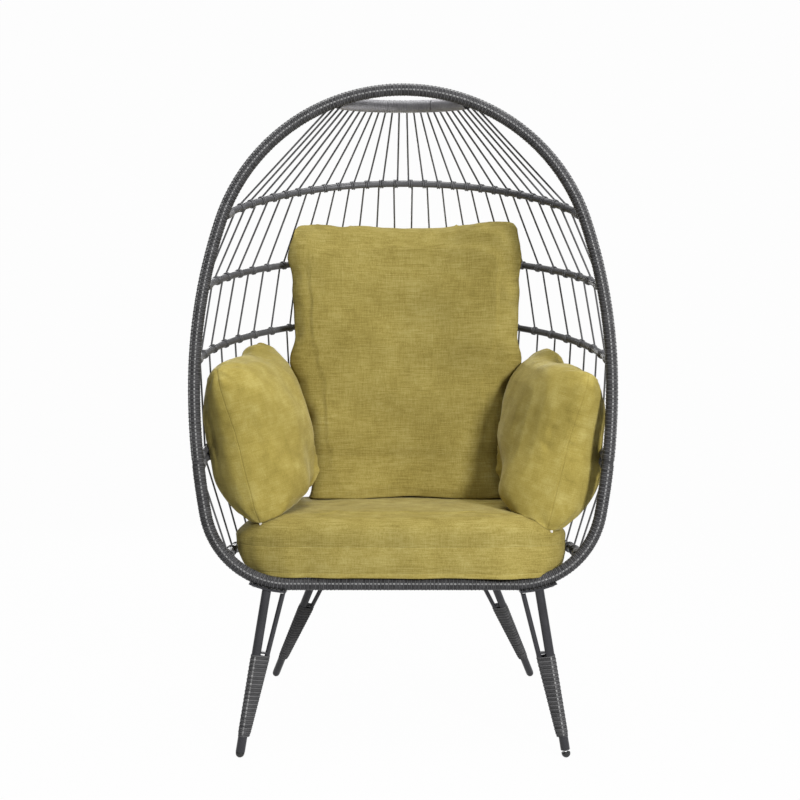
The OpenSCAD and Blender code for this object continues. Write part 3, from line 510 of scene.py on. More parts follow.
# ---------------------------------------------------------------------------
# Shell cords: 26 round cords that leave the crown winding, take one slanted turn
# round each rib and end in turns on the upper rail. 26 more run from the lower
# rail to the seat rail.
# ---------------------------------------------------------------------------
def tube_batch(name, paths, refs, r, material, around=8):
    """Round cords: at each point of a path a ring of radius r square to it, turned by
    the direction in refs, and a point that closes each end. Paths: (cords, points, 3)."""
    cords, points = paths.shape[:2]
    way = unit(np.gradient(paths, axis=1))
    first = unit(refs - (refs * way).sum(-1, keepdims=True) * way)
    second = np.cross(way, first)
    a = np.linspace(0.0, 2.0 * math.pi, around, endpoint=False)[:, None]
    rings = paths[:, :, None] + r * (np.cos(a) * first[:, :, None]
                                     - np.sin(a) * second[:, :, None])
    tips = np.stack([paths[:, 0] - way[:, 0] * 0.6 * r, paths[:, -1] + way[:, -1] * 0.6 * r], 1)
    stride = points * around
    j = np.arange(around)
    k, end = (j + 1) % around, j + stride - around
    faces = []
    for c in range(cords):
        first_tip = np.full(around, cords * stride + 2 * c)
        faces += (sheet_quads(points, around, True) + c * stride).tolist()
        faces += np.stack([first_tip, j + c * stride, k + c * stride], 1).tolist()
        faces += np.stack([first_tip + 1, end - j + k + c * stride, end + c * stride],
                          1).tolist()
    step = np.linalg.norm(np.diff(paths, axis=1), axis=2)
    length = np.concatenate([np.zeros((cords, 1)), np.cumsum(step, axis=1)], 1)
    uv = np.stack(np.broadcast_arrays(length[:, :, None] * 0.1, a[:, 0] / (2.0 * math.pi)), -1)
    uv = np.concatenate([uv.reshape(-1, 2), np.zeros((2 * cords, 2))])
    return piece_from(name, in_chair(np.concatenate([rings.reshape(-1, 3),
                                                     tips.reshape(-1, 3)])),
                      faces, material, uv=uv)


def beside(rib):
    """Half the shift along a rib between the cord that comes and the cord that goes."""
    return math.asin(0.62 * 2.0 * CORD_R / rib.radius)


def strands(ribs, steps, winds):
    """Paths of cords over a list of ribs, with winds[k] turns on each of them: a cord runs
    straight from seat to seat, and its turn is
    rib(t + shift f) + r (cos a start + sin a travel), f from -1/2 to 1/2."""
    number = np.arange(13) + 0.5
    mids = [number * math.radians(step) for step in steps]
    runs = [unit(ribs[k + 1].at(mids[k + 1] - beside(ribs[k + 1]))
                 - ribs[k].at(mids[k] + beside(ribs[k]))) for k in range(len(ribs) - 1)]
    path, ref = [], []
    for k, rib in enumerate(ribs):
        coming = runs[max(k - 1, 0)]
        turn = 2.0 * math.pi * winds[k]
        a = np.linspace(0.0, turn, int(20 * winds[k])) - (turn if k == 0 else 0.0)
        start = unit(np.cross(rib.way(mids[k]), coming))
        start = start * np.sign((start * rib.out(mids[k])).sum(-1, keepdims=True))
        travel = unit(np.cross(rib.way(mids[k]), start))
        travel = travel * np.sign((travel * coming).sum(-1, keepdims=True))
        shift = 2.0 * beside(rib) * max(0.85 * winds[k], 0.6)
        place = mids[k][:, None] + shift * np.linspace(-0.5, 0.5, len(a))
        r = rib.r + 0.7 + np.zeros_like(a)
        if k == 0 and rib is crown:
            # the cord comes out from between the crown's own turns
            r = rib.r + 0.7 - 3.2 * (a / turn) ** 2
        path.append(rib.at(place) + r[:, None]
                    * (np.cos(a)[:, None] * start[:, None]
                       + np.sin(a)[:, None] * travel[:, None]))
        ref.append(rib.way(place))
    path, ref = np.concatenate(path, 1), np.concatenate(ref, 1)
    mirror = np.array([-1.0, 1.0, 1.0])
    return np.concatenate([path, path * mirror]), np.concatenate([ref, ref * mirror])


# degrees between two cords along each rib, and the turns that a cord makes round it
upper_paths, upper_refs = strands([crown, rib_1, rib_2, rib_3, rail_up],
                                  [4.2, 4.9, 6.6, 7.2, 7.2], [0.15, 2.0, 2.0, 2.0, 1.6])
lower_paths, lower_refs = strands([rail_low, seat_rail], [7.2, 7.2], [1.6, 1.6])
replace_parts(tube_batch("upper_shell_cords", upper_paths, upper_refs, CORD_R, cord_finish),
            "shell_cords_1", "shell_cords_2", "shell_cords_3", "shell_cords_4")
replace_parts(tube_batch("lower_shell_cords", lower_paths, lower_refs, CORD_R, cord_finish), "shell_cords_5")


# ---------------------------------------------------------------------------
# Rib ties: where a rib meets the hoop, a few turns of cord are wound on its end
# to hide the weld.
# ---------------------------------------------------------------------------
tie_finish = round_cord("tie_cord", (0.10, 0.10, 0.104), (0.185, 0.185, 0.19))
for rib_name, rib, reach in (("top_rib", rib_1, 24.0), ("second_rib", rib_2, 24.0),
                             ("third_rib", rib_3, 24.0), ("upper_rail", rail_up, 14.0),
                             ("lower_rail", rail_low, 14.0), ("seat_rail", seat_rail, 22.0)):
    for side, sign in (("left", -1.0), ("right", 1.0)):
        near = rib.end - 5.0 / rib.radius
        tie = rib.line(sign * (near - reach / rib.radius), sign * near)
        wound(f"{rib_name}_{side}_tie", tie, rib.normal, rib.r + 3.6, 4.4, ROUND_CORD,
              tie_finish, around=18, uneven=0.15)


# ---------------------------------------------------------------------------
# Seat frame: two bars between the front of the hoop and a rear bar with bent
# ends, and cords stretched over them under the seat cushion.
# ---------------------------------------------------------------------------
paint_node(frame_paint, "rear_seat_bar", "seat_bars")
paint_node(cord_finish, "seat_cords")


# ---------------------------------------------------------------------------
# Legs: each is a steel V of a thick tube and a thin brace on a saddle plate,
# wound with flat wicker over its lower part. A dark plug closes the tube.
# ---------------------------------------------------------------------------
leg_paint = powder_coat("leg_paint", (0.032, 0.032, 0.036), matt=0.30)
leg_wicker = wicker("leg_wicker", (0.030, 0.030, 0.031), (0.125, 0.124, 0.127))
plug_plastic = powder_coat("plug_plastic", (0.012, 0.012, 0.012))
paint_node(leg_paint, "front_left_leg", "front_right_leg", "rear_left_leg", "rear_right_leg")
paint_node(plug_plastic, "foot_plugs")

FRONT_LEG = {"foot": [351.0, -52.0, 9.1], "top": [297.004, -23.7975, 358.916],
             "brace_foot": [337.791, -46.7944, 43.1832],
             "brace_top": [261.44, -12.9731, 353.657], "start": 36.0, "wound": 176.0}
REAR_LEG = {"foot": [352.0, 538.0, 9.1], "top": [204.153, 360.0, 369.875],
            "brace_foot": [323.707, 515.502, 57.6856],
            "brace_top": [169.289, 371.1, 361.078], "start": 60.0, "wound": 190.0}
LEGS = (("front_left", FRONT_LEG, -1.0), ("front_right", FRONT_LEG, 1.0),
        ("rear_left", REAR_LEG, -1.0), ("rear_right", REAR_LEG, 1.0))
TUBE_R, BRACE_R, LEG_WRAP, LEG_PITCH = 10.0, 5.5, 1.5, 4.3


def leg_points(leg, side):
    """A leg's four points on one side of the chair: foot, top, brace's foot and top."""
    return [np.array(leg[key]) * [side, 1.0, 1.0]
            for key in ("foot", "top", "brace_foot", "brace_top")]


def leg_winding(name, leg, side, around=30):
    """A strip wound round a tube and its brace together. At height s the outline is the
    hull of two circles, c + r n for the normals n = (cos a, sin a), from the tube where
    it reaches further along n and from the brace elsewhere."""
    foot, top, low, high = leg_points(leg, side)
    up, brace_up = unit(top - foot), unit(high - low)
    turns = int(leg["wound"] / LEG_PITCH) + 1
    t = (np.arange(-1, turns)[:, None] + FLAT_STRIP[:, 0]).ravel()
    depth = np.tile(FLAT_STRIP[:, 1] * 0.9, turns + 1)[:, None]
    depth = depth + (0.12 * np.sin(3.1 * np.floor(t)) + 0.44 * (np.floor(t) % 2.0))[:, None]
    a = np.linspace(0.0, 2.0 * math.pi, around, endpoint=False)
    s = np.clip((t[:, None] + a / (2.0 * math.pi)) * LEG_PITCH, 0.0, leg["wound"])
    tube = foot + up * (leg["start"] + s[..., None])
    brace = low + brace_up * s[..., None]
    x = unit((brace - tube) - ((brace - tube) * up).sum(-1, keepdims=True) * up)
    y = np.cross(up, x)
    n = np.cos(a)[:, None] * x + np.sin(a)[:, None] * y
    far = ((brace - tube) * n).sum(-1) + BRACE_R > TUBE_R
    middle = np.where(far[..., None], brace, tube)
    thin = np.exp(-(s / 6.0) ** 2) + np.exp(-((leg["wound"] - s) / 6.0) ** 2)
    r = np.where(far, BRACE_R, TUBE_R) + LEG_WRAP - 0.22 + depth - 0.9 * thin
    uv = np.stack(np.broadcast_arrays(t[:, None], a * 2.0), -1).reshape(-1, 2)
    quads = sheet_quads(len(t), around, True, len(FLAT_STRIP))[:, ::-1]
    return piece_from(name, in_chair(middle + r[..., None] * n).reshape(-1, 3), quads,
                      leg_wicker, uv=uv)


for leg_name, leg, side in LEGS:
    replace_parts(leg_winding(leg_name + "_winding", leg, side), leg_name + "_wicker")
    foot, top, low, high = leg_points(leg, side)
    up = unit(top - foot)
    start = foot + up * leg["start"]
    tube = start + up * np.linspace(0.0, leg["wound"], 40)[:, None]
    # the strip faces forwards on the front legs and backwards on the rear ones
    facing = np.array([0.0, math.copysign(1.0, foot[1] - MID_Y), 0.0])
    facing = unit(facing - (facing @ up) * up)
    to_brace = unit((low - start) - ((low - start) @ up) * up)
    turned_by = math.atan2(facing @ np.cross(up, to_brace), facing @ to_brace)
    # the laid strip's light grey is a painted highlight, as on the hoop
    laid_strip(leg_name + "_strip", tube, facing, TUBE_R + LEG_WRAP, [90.0] * 3, LEG_PITCH,
               phase=0.25 - turned_by / (2.0 * math.pi))


# ---------------------------------------------------------------------------
# Bolts: zinc plated button-head screws with a hexagon socket. Two hold each leg
# to its bar, two each seam to its spigot, and hexagon bolts join the two rails.
# ---------------------------------------------------------------------------
zinc = Finish("zinc")
zinc_cloud = zinc.noise(zinc.place(), 320.0, 3.0)
zinc_finish = zinc.surface(
    Base_Color=zinc.mix(zinc_cloud, (0.50, 0.50, 0.49), (0.72, 0.72, 0.71)), Metallic=1.0,
    Roughness=zinc_cloud * 0.25 + 0.22, Normal=zinc.bump(zinc_cloud, 0.00005, 0.3))


def closed_tube(rows, around):
    """Faces of rings of points that two more points close, one at each end."""
    j, last = np.arange(around), rows * around
    k, top = (j + 1) % around, last - around
    caps = np.concatenate([np.stack([np.full(around, last), k, j], 1),
                           np.stack([np.full(around, last + 1), j + top, k + top], 1)])
    return sheet_quads(rows, around, True)[:, ::-1].tolist() + caps.tolist()


def turned(outline, at, axis, around=24, six=()):
    """A turned form: rings of radius r at height h along an axis, (r, h) from the outline's
    first point on the axis to its last one. The rows in six are hexagons instead."""
    outline, axis = np.asarray(outline, float), unit(np.asarray(axis, float))
    first = unit(np.cross(axis, [0.31, 0.92, 0.2]))
    second = np.cross(axis, first)
    a = np.linspace(0.0, 2.0 * math.pi, around, endpoint=False)
    corner = math.cos(math.pi / 6.0) / np.cos((a + 1e-9) % (math.pi / 3.0) - math.pi / 6.0)
    r = outline[1:-1, 0][:, None] * np.where(np.isin(np.arange(len(outline) - 2), six)[:, None],
                                             corner, 1.0)
    rings = (np.asarray(at, float) + outline[1:-1, 1][:, None, None] * axis
             + (r * np.cos(a))[..., None] * first + (r * np.sin(a))[..., None] * second)
    poles = np.asarray(at, float) + outline[[0, -1], 1][:, None] * axis
    return np.concatenate([rings.reshape(-1, 3), poles]), closed_tube(len(rings), around)


def joined(forms):
    """Several forms' points and faces as one mesh."""
    points, faces, shift = [], [], 0
    for p, f in forms:
        points.append(p)
        faces += [[i + shift for i in face] for face in f]
        shift += len(p)
    return np.concatenate(points), faces


def screw_batch(name, forms, node):
    """Screws as one zinc plated piece that stands for a CAD node."""
    points, faces = joined(forms)
    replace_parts(piece_from(name, in_chair(points), faces, zinc_finish), node)


def button_screw(at, axis, shaft_r, shaft_l, head_r, head_h):
    """(r, h) of a screw from its tip up to the bottom of its hexagon socket."""
    dome = np.linspace(0.0, 1.0, 7)[1:]
    head = [(head_r * math.sqrt(1.0 - 0.72 * u * u), head_h * (0.18 + 0.82 * u)) for u in dome]
    outline = ([(0.0, -shaft_l), (shaft_r * 0.8, -shaft_l), (shaft_r, -shaft_l + 0.6),
                (shaft_r, 0.0), (head_r, 0.0), (head_r, head_h * 0.18)] + head
               + [(head_r * 0.42, head_h), (head_r * 0.40, head_h * 0.45),
                  (0.0, head_h * 0.40)])
    rows = len(outline) - 2
    return turned(outline, at, axis, six=(rows - 2, rows - 1))


def hexagon_bolt(at, axis, shaft_r, shaft_l, head_r, head_h):
    """(r, h) of a bolt with a chamfered hexagon head and its nut at the other end."""
    outline = [(0.0, -shaft_l - head_h - 1.5), (shaft_r, -shaft_l - head_h - 1.5),
               (shaft_r, -shaft_l - head_h), (head_r * 0.93, -shaft_l - head_h),
               (head_r, -shaft_l - head_h * 0.85), (head_r, -shaft_l), (shaft_r, -shaft_l),
               (shaft_r, 0.0), (head_r, 0.0), (head_r, head_h * 0.8),
               (head_r * 0.9, head_h), (0.0, head_h)]
    return turned(outline, at, axis, six=(2, 3, 4, 7, 8))


def on_hoop_plane(x, v, w):
    """A point of the hoop's plane, w in front of it."""
    return np.array([x, v * math.sin(LEAN) - w * math.cos(LEAN),
                     PIVOT_Z + v * math.cos(LEAN) + w * math.sin(LEAN)])


# half the distance between a saddle's screws, its plate's thickness and the curves that
# the front and the rear saddles lie on
HALF_APART, SADDLE = 31.0, 4.0
FRONT_R, REAR_R, REAR_BEND = CORNER_ARC[1] + 0.3, 211.3, np.array([135.213, 569.612])
REAR_BAR_Y = 360.0
M6_SCREW, M5_SCREW = (3.0, 12.0, 5.0, 3.5), (2.5, 9.0, 4.5, 2.5)
saddle_screws = []
for side in (-1.0, 1.0):
    for s in (-1.0, 1.0):
        # front saddle: under the hoop's corner, 13 degrees out from straight down
        a = math.radians(13.0) + s * HALF_APART / FRONT_R
        down = np.array([math.sin(a), -math.cos(a)])
        x, v = CORNER_ARC[0] + (FRONT_R + SADDLE) * down
        axis = on_hoop_plane(down[0], down[1], 0.0) - on_hoop_plane(0.0, 0.0, 0.0)
        saddle_screws.append(button_screw(on_hoop_plane(x, v, 0.0) * [side, 1, 1],
                                          axis * [side, 1, 1], *M6_SCREW))
        # rear saddle: under the bend of the rear bar, 18.5 degrees out
        a = math.radians(18.5) + s * HALF_APART / REAR_R
        down = np.array([math.sin(a), -math.cos(a)])
        x, z = REAR_BEND + (REAR_R + SADDLE) * down
        saddle_screws.append(button_screw([side * x, REAR_BAR_Y, z],
                                          [side * down[0], 0.0, down[1]], *M6_SCREW))
screw_batch("saddle_screws", saddle_screws, "leg_bolts")

seam_screws = []
for side in (-1.0, 1.0):
    for s in (-30.0, 30.0):
        a = SPLIT_A + s / FLANK_ARC[1]
        x = FLANK_ARC[0][0] + (FLANK_ARC[1] - HOOP_OUT) * math.cos(a)
        v = (FLANK_ARC[1] - HOOP_OUT) * math.sin(a)
        seam_screws.append(button_screw(on_hoop_plane(x, v, -HOOP_OUT - 0.3) * [side, 1, 1],
                                        -HOOP_FRONT, *M5_SCREW))
screw_batch("seam_screws", seam_screws, "hoop_bolts")

rail_bolts = []
for t in (-60.0, 0.0, 60.0):
    spot = rail_low.at(np.array(math.radians(t))) + [0.0, 0.0, 18.0 + 9.0]
    rail_bolts.append(hexagon_bolt(spot, [0.0, 0.0, 1.0], 2.5, 36.0, 4.0, 3.0))
screw_batch("rail_screws", rail_bolts, "rail_bolts")


# ---------------------------------------------------------------------------
# Levelling feet: a moulded black tip with a rounded end, on a threaded steel
# stud that screws into the plug. The front right one is screwed out a little.
# ---------------------------------------------------------------------------
tip = Finish("foot_plastic")
tip_grain = tip.noise(tip.place(), 1400.0, 2.0)
tip_scuff = tip.noise(tip.place(), 160.0, 4.0)
foot_plastic = tip.surface(
    Base_Color=tip.mix(tip_scuff, (0.008, 0.008, 0.008), (0.022, 0.022, 0.022)),
    Roughness=tip_scuff * 0.3 + 0.3, Normal=tip.bump(tip_grain, 0.00006, 0.5))


def foot_tip(foot, up):
    """(r, h): a flat underside, a ball of 9.5 mm, a rim with a soft edge, a flat top."""
    ball = np.radians(np.linspace(-72.0, 0.0, 12))
    outline = ([(0.0, -9.1), (2.9, -9.08)] + [(9.5 * math.cos(b), 9.5 * math.sin(b))
                                              for b in ball]
               + [(9.5, 1.2), (9.2, 1.8), (8.6, 2.0), (4.0, 2.0), (0.0, 2.0)])
    return turned(outline, foot, up, around=32)


def stud_thread(foot, up, low=2.0, high=36.0, around=16, pitch=1.25):
    """A screw thread: r = 3.68 + 0.32 |saw|, its ridges climbing one pitch a turn."""
    rows = int((high - low) / pitch * 4) + 1
    h = np.linspace(low, high, rows)[:, None]
    a = np.linspace(0.0, 2.0 * math.pi, around, endpoint=False)
    saw = np.abs(((h / pitch - a / (2.0 * math.pi)) % 1.0) * 2.0 - 1.0)
    r = np.where((h > low + 0.1) & (h < high - 0.1), 3.42 + 0.56 * saw, 3.3)
    first = unit(np.cross(up, [0.31, 0.92, 0.2]))
    second = np.cross(up, first)
    rings = (foot + h[..., None] * up + (r * np.cos(a))[..., None] * first
             + (r * np.sin(a))[..., None] * second)
    points = np.concatenate([rings.reshape(-1, 3), [foot + low * up, foot + high * up]])
    return points, closed_tube(rows, around)


for leg_name, leg, side in LEGS:
    foot, top = leg_points(leg, side)[:2]
    up = unit(top - foot)
    points, faces = foot_tip(foot, up)
    points[:, 2] = np.maximum(points[:, 2], 0.0)
    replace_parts(piece_from(leg_name + "_tip", in_chair(points), faces, foot_plastic,
                           body=leg_name + "_foot"), leg_name + "_foot")
    points, faces = stud_thread(foot, up)
    piece_from(leg_name + "_stud", in_chair(points), faces, zinc_finish,
               body=leg_name + "_foot")


# ---------------------------------------------------------------------------
# Seat cushion: a boxed pad of woven slub cloth, D shaped, on the seat cords. Its
# top panel comes down over the front to a seam, and a second seam runs near the
# bottom; both are painted as thin light lines, painted highlights on their folds.
# ---------------------------------------------------------------------------
def woven_cloth(name, dark, mid, light, turn=(0.0, 0.0, 0.0), centre=(0.0, 0.0, 0.0),
                seams=(), seam_painted_light=-0.14, slub=0.8, pile=0.3, sheen=0.12):
    """Woven cloth with thicker threads here and there: streaks along the threads both
    ways, fine thread noise, and broad lighter and darker patches where the pile leans
    another way, a painted sheen, weighted in part by pile. seams are (axis, place, half
    width) of sewn lines, square to an axis of the piece; their signed tone paints a dark
    line below 0, painted shade in the groove, and a light line above 0, a painted
    highlight on the fold."""
    cloth = Finish(name)
    here = cloth.node("ShaderNodeMapping", {"vector_type": "TEXTURE"},
                      {"Vector": cloth.place(), "Location": centre, "Rotation": turn})
    weft = cloth.noise(here, 1.0, 3.0, 0.6, stretch=(26.0, 26.0, 420.0))
    warp = cloth.noise(here, 1.0, 3.0, 0.6, stretch=(420.0, 420.0, 30.0))
    thread = cloth.noise(here, 620.0, 2.0, 0.6)
    # painted sheen: broad and smaller patches lighter and darker where the pile leans another way; pile
    # weights the smaller ones
    patch = cloth.noise(here, 9.0, 4.0, 0.6)
    pile_lean_sheen = cloth.noise(here, 30.0, 3.0, 0.55)
    tone = (0.5 + (weft - 0.5) * 1.5 * slub + (warp - 0.5) * 1.0 * slub
            + (thread - 0.5) * 0.9 + (patch - 0.5) * 0.7 + (pile_lean_sheen - 0.5) * 0.5 * pile * 3.0)
    height = weft * 0.8 + warp * 0.6 + thread * 0.8
    for axis, place, half in seams:
        line = cloth.node("ShaderNodeSeparateXYZ", {}, {0: here}, out=axis)
        groove = ((((line - place) / half) ** 2.0) * -1.0).math("EXPONENT")
        height = height - groove * 2.0
        # the seam line is painted darker where this tone is below 0, painted shade in the groove, and
        # lighter where it is above 0, a painted highlight on the fold
        tone = tone + groove * seam_painted_light
    colour = cloth.mix((tone * 2.0).clamp(), dark, mid)
    colour = cloth.mix((tone * 2.0 - 1.0).clamp(), colour, light)
    return cloth.surface(Base_Color=colour, Roughness=0.92, Specular_IOR_Level=0.25,
                         Sheen_Weight=sheen, Sheen_Roughness=0.4,
                         Sheen_Tint=(0.92, 0.88, 0.58, 1.0),
                         Normal=cloth.bump(height, 0.0007, 0.55))


def cushion_form(name, shrink):
    """A CAD cushion's points joined, then moved inwards along their normals."""
    form = bmesh.new()
    form.from_mesh(nodes[name].data)
    bmesh.ops.remove_doubles(form, verts=form.verts, dist=1e-5)
    bmesh.ops.recalc_face_normals(form, faces=form.faces)
    form.normal_update()
    for vert in form.verts:
        vert.co -= vert.normal * shrink
    mesh = bpy.data.meshes.new(name + "_form")
    form.to_mesh(mesh)
    form.free()
    piece = bpy.data.objects.new(name + "_cover", mesh)
    bpy.context.collection.objects.link(piece)
    return piece


def settle(piece):
    """Applies a piece's modifiers at this frame and gives it the new mesh."""
    shape = piece.evaluated_get(bpy.context.evaluated_depsgraph_get())
    made = bpy.data.meshes.new_from_object(shape)
    piece.modifiers.clear()
    piece.data = made


def points_of(piece):
    flat = np.zeros(len(piece.data.vertices) * 3, np.float32)
    piece.data.vertices.foreach_get("co", flat)
    return flat.reshape(-1, 3).astype(float)


def set_points(piece, points):
    piece.data.vertices.foreach_set("co", np.asarray(points, np.float32).ravel())
    piece.data.update()


def stuffed(name, shrink, voxel, pressure, cap, stiffness=15.0, hollow=0.005):
    """Fills a cover: the form is remeshed, blown up as cloth for 20 frames, and no point
    moves further than the cap. Each face is divided once, and the cover is held between
    the cushion's own form and a surface that lies hollow metres inside it."""
    piece = cushion_form(name, shrink)
    grid = piece.modifiers.new("grid", "REMESH")
    grid.mode, grid.voxel_size = "VOXEL", voxel * 1.0
    settle(piece)
    before = points_of(piece)
    cloth = piece.modifiers.new("cloth", "CLOTH")
    cloth.settings.quality = 5
    cloth.settings.mass = 0.3
    cloth.settings.tension_stiffness = cloth.settings.compression_stiffness = stiffness
    cloth.settings.shear_stiffness = stiffness * 0.5
    cloth.settings.use_pressure = True
    cloth.settings.uniform_pressure_force = pressure
    cloth.settings.effector_weights.gravity = 0.0
    cloth.point_cache.frame_start, cloth.point_cache.frame_end = 1, 20
    for number in range(1, 21):
        scene.frame_set(number)
    settle(piece)
    scene.frame_set(1)
    moved = points_of(piece) - before
    far = np.linalg.norm(moved, axis=1, keepdims=True)
    set_points(piece, before + moved * np.minimum(1.0, cap / np.maximum(far, 1e-9)))
    own_form = cushion_form(name, 0.0)
    for mode, room in (("OUTSIDE", -hollow), ("INSIDE", 0.0)):
        hold = piece.modifiers.new(mode, "SHRINKWRAP")
        hold.target, hold.wrap_mode, hold.offset = own_form, mode, room
    even = piece.modifiers.new("even", "SMOOTH")
    even.factor, even.iterations = 0.5, 3
    fine = piece.modifiers.new("fine", "SUBSURF")
    fine.levels = fine.render_levels = 1
    settle(piece)
    bpy.data.objects.remove(own_form)
    return piece


def step(x):
    """Rises softly from 0 to 1: 3 x^2 - 2 x^3."""
    x = np.clip(x, 0.0, 1.0)
    return x * x * (3.0 - 2.0 * x)


def moulded(points, pushes):
    """The filling pushed about by hand: each push, (place x y z, reach, move x y z) in
    millimetres, shifts what lies round its place by move exp(-(distance / reach)^2)."""
    shift = np.zeros_like(points)
    for push in np.array(pushes) * 0.001:
        away = np.linalg.norm(points - push[:3], axis=1, keepdims=True) / push[3]
        shift += np.exp(-away ** 2) * push[4:]
    return points + shift


def rest_against(piece, *others, gap=0.001):
    """Keeps a cushion's cloth outside the pieces that it leans on, evens it out, and
    holds it once more."""
    for turn in range(2):
        for other in others:
            hold = piece.modifiers.new("rest", "SHRINKWRAP")
            hold.target, hold.wrap_mode, hold.offset = other, "OUTSIDE", gap
        if turn == 0:
            even = piece.modifiers.new("even", "SMOOTH")
            even.factor, even.iterations = 0.5, 8
    settle(piece)


def dress(piece, material, name):
    """Gives a finished cushion its cloth and its body, and hides the CAD cushion that it stands for."""
    piece.data.materials.clear()
    piece.data.materials.append(material)
    piece.data.polygons.foreach_set("use_smooth", np.ones(len(piece.data.polygons), bool))
    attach(piece, name)
    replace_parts(piece, name)


def ripple(points, waves):
    """A sum of sine waves over the points: size sin(points . direction + phase)."""
    return sum(size * np.sin(points @ np.array(direction) + phase)
               for direction, phase, size in waves)


def outward(piece):
    """Unit normals of a piece's points."""
    flat = np.zeros(len(piece.data.vertices) * 3, np.float32)
    piece.data.vertices.foreach_get("normal", flat)
    return flat.reshape(-1, 3).astype(float)


DARK, MID, LIGHT = (0.190, 0.145, 0.030), (0.296, 0.237, 0.060), (0.405, 0.340, 0.116)
SEAT_HALF, SEAT_UNDER, SEAT_TOP = 0.367, 0.3812, 0.5205

seat = stuffed("seat_cushion", 0.005, 0.006, 4.0, 0.016, hollow=0.002)
points, normals = points_of(seat), outward(seat)
x, y, z = points.T
swell = ripple(points, [((41.0, 23.0, 0.0), 0.4, 0.0012), ((-17.0, 38.0, 9.0), 2.1, 0.0014),
                        ((66.0, -14.0, 31.0), 1.2, 0.0008)])
seam = sum(np.exp(-((z - level) / 0.0042) ** 2) for level in (0.456, 0.4325))
front = step((0.06 - y) / 0.16)
side = np.hypot(normals[:, 0], normals[:, 1])
points = points + normals * (swell * (0.3 + 0.7 * side) - 0.0022 * seam
                             + 0.004 * front * side)[:, None]
points[:, 0] += (np.where(x < 0.0, -0.019, 0.010) * front * np.abs(x / SEAT_HALF) ** 3
                 * np.exp(-((z - 0.456) / 0.024) ** 2))
# its lower front edge lies pressed flat on the hoop, its rear top under the back cushion
lip = step((-0.12 + 0.06 * step(x / 0.3) - y) / 0.1) * step((0.466 - z) / 0.046)
points[:, 2] -= 0.96 * lip * (z - SEAT_UNDER)
points[:, 1] -= (0.014 + 0.022 * step((x - 0.12) / 0.12)) * lip * side
under = step((y + 0.09) / 0.08) * step((0.187 - y) / 0.045) * step((0.335 - np.abs(x)) / 0.07)
points[:, 2] += under * step((z - 0.475) / 0.02) * (SEAT_TOP - z)
points[:, 2] = np.maximum(points[:, 2], SEAT_UNDER)
set_points(seat, points)
# the seat's seams are painted as light lines: painted highlights on the seam folds
dress(seat, woven_cloth("seat_cloth", DARK, MID, LIGHT,
                        seams=((2, 0.447, 0.0013), (2, 0.392, 0.0011)), seam_painted_light=0.12),
      "seat_cushion")


# ---------------------------------------------------------------------------
# Back cushion: a tall pillow of the same cloth, leaning in the shell. Its filling
# is uneven, so the edges wave and the top sags a little in the middle.
# ---------------------------------------------------------------------------
BACK_HALF, BACK_UNDER = 0.278, 0.5212
back = stuffed("back_cushion", 0.006, 0.0065, 4.0, 0.018)
points, normals = points_of(back), outward(back)
x, y, z = points.T
free = step((z - 0.90) / 0.08)
swell = ripple(points, [((21.0, 0.0, 17.0), 0.9, 0.0025), ((-31.0, 12.0, 26.0), 2.6, 0.0018),
                        ((9.0, 30.0, 47.0), 1.1, 0.0015), ((74.0, 20.0, -41.0), 0.2, 0.0008)])
lobes = step((np.abs(x) - 0.2) / 0.07) * ripple(points, [((0.0, 0.0, 78.0), 2.2, 0.0022),
                                                         ((0.0, 0.0, 45.0), 0.3, 0.0018)])
front = step(0.4 - normals[:, 1])
points = points + normals * (front * (swell + lobes * free - 0.001))[:, None]
rim = np.sign(x) * np.abs(x / BACK_HALF) ** 3
points[:, 0] += np.where(x < 0.0, 0.003, 0.020) * step((z - 0.79) / 0.06) * rim
# the filling bulges out again above the pillows, and lies flat and wide on the seat
points[:, 0] += 0.066 * (step((0.928 - z) / 0.08) - np.where(x < 0.0, 1.0, 0.5)
                         * step((0.81 - z) / np.where(x < 0.0, 0.11, 0.18))) * rim
points[:, 0] += (np.where(x < 0.0, -0.038, 0.046) * step((np.abs(x) - 0.10) / 0.10)
                 * np.exp(-((z - 0.535) / 0.05) ** 2))
low = step((0.63 - z) / 0.07)
points[:, 1] -= 0.030 * low * step(0.3 - normals[:, 1])
points[:, 2] += 0.008 * step((z - 1.13) / 0.07) - 0.97 * low * (z - BACK_UNDER)
points = moulded(points, [
    (-280, -10, 1115, 45, -9, 0, 0), (280, -10, 1115, 45, 6, 0, 0),
    (-262, 20, 1185, 60, -13, 0, 22), (270, 20, 1185, 65, 13, 0, 24),
    (-180, 100, 1205, 40, 0, 0, -6), (-90, 120, 1205, 60, 0, 0, 6), (15, 120, 1200, 60, 0, 0, 5),
    (180, 100, 1205, 80, 0, 0, 7)])
set_points(back, points)
dress(back, woven_cloth("back_cloth", DARK, MID, LIGHT), "back_cushion")


# ---------------------------------------------------------------------------
# Side pillows: two squares of soft pile cloth sewn together all round, stuffed
# fat and stood on edge against the sides. A zip ends at the bottom corner.
# ---------------------------------------------------------------------------
PILLOW_AT, PILLOW_TIP = np.array([-0.335, -0.055, 0.696]), 0.19
PILLOW_TURN = np.radians([8.0, -14.0, -12.0])


def turned_axes(turn):
    """The matrix of a turn about x, then y, then z."""
    (cx, cy, cz), (sx, sy, sz) = np.cos(turn), np.sin(turn)
    about_x = np.array([[1, 0, 0], [0, cx, -sx], [0, sx, cx]])
    about_y = np.array([[cy, 0, sy], [0, 1, 0], [-sy, 0, cy]])
    about_z = np.array([[cz, -sz, 0], [sz, cz, 0], [0, 0, 1]])
    return about_z @ about_y @ about_x


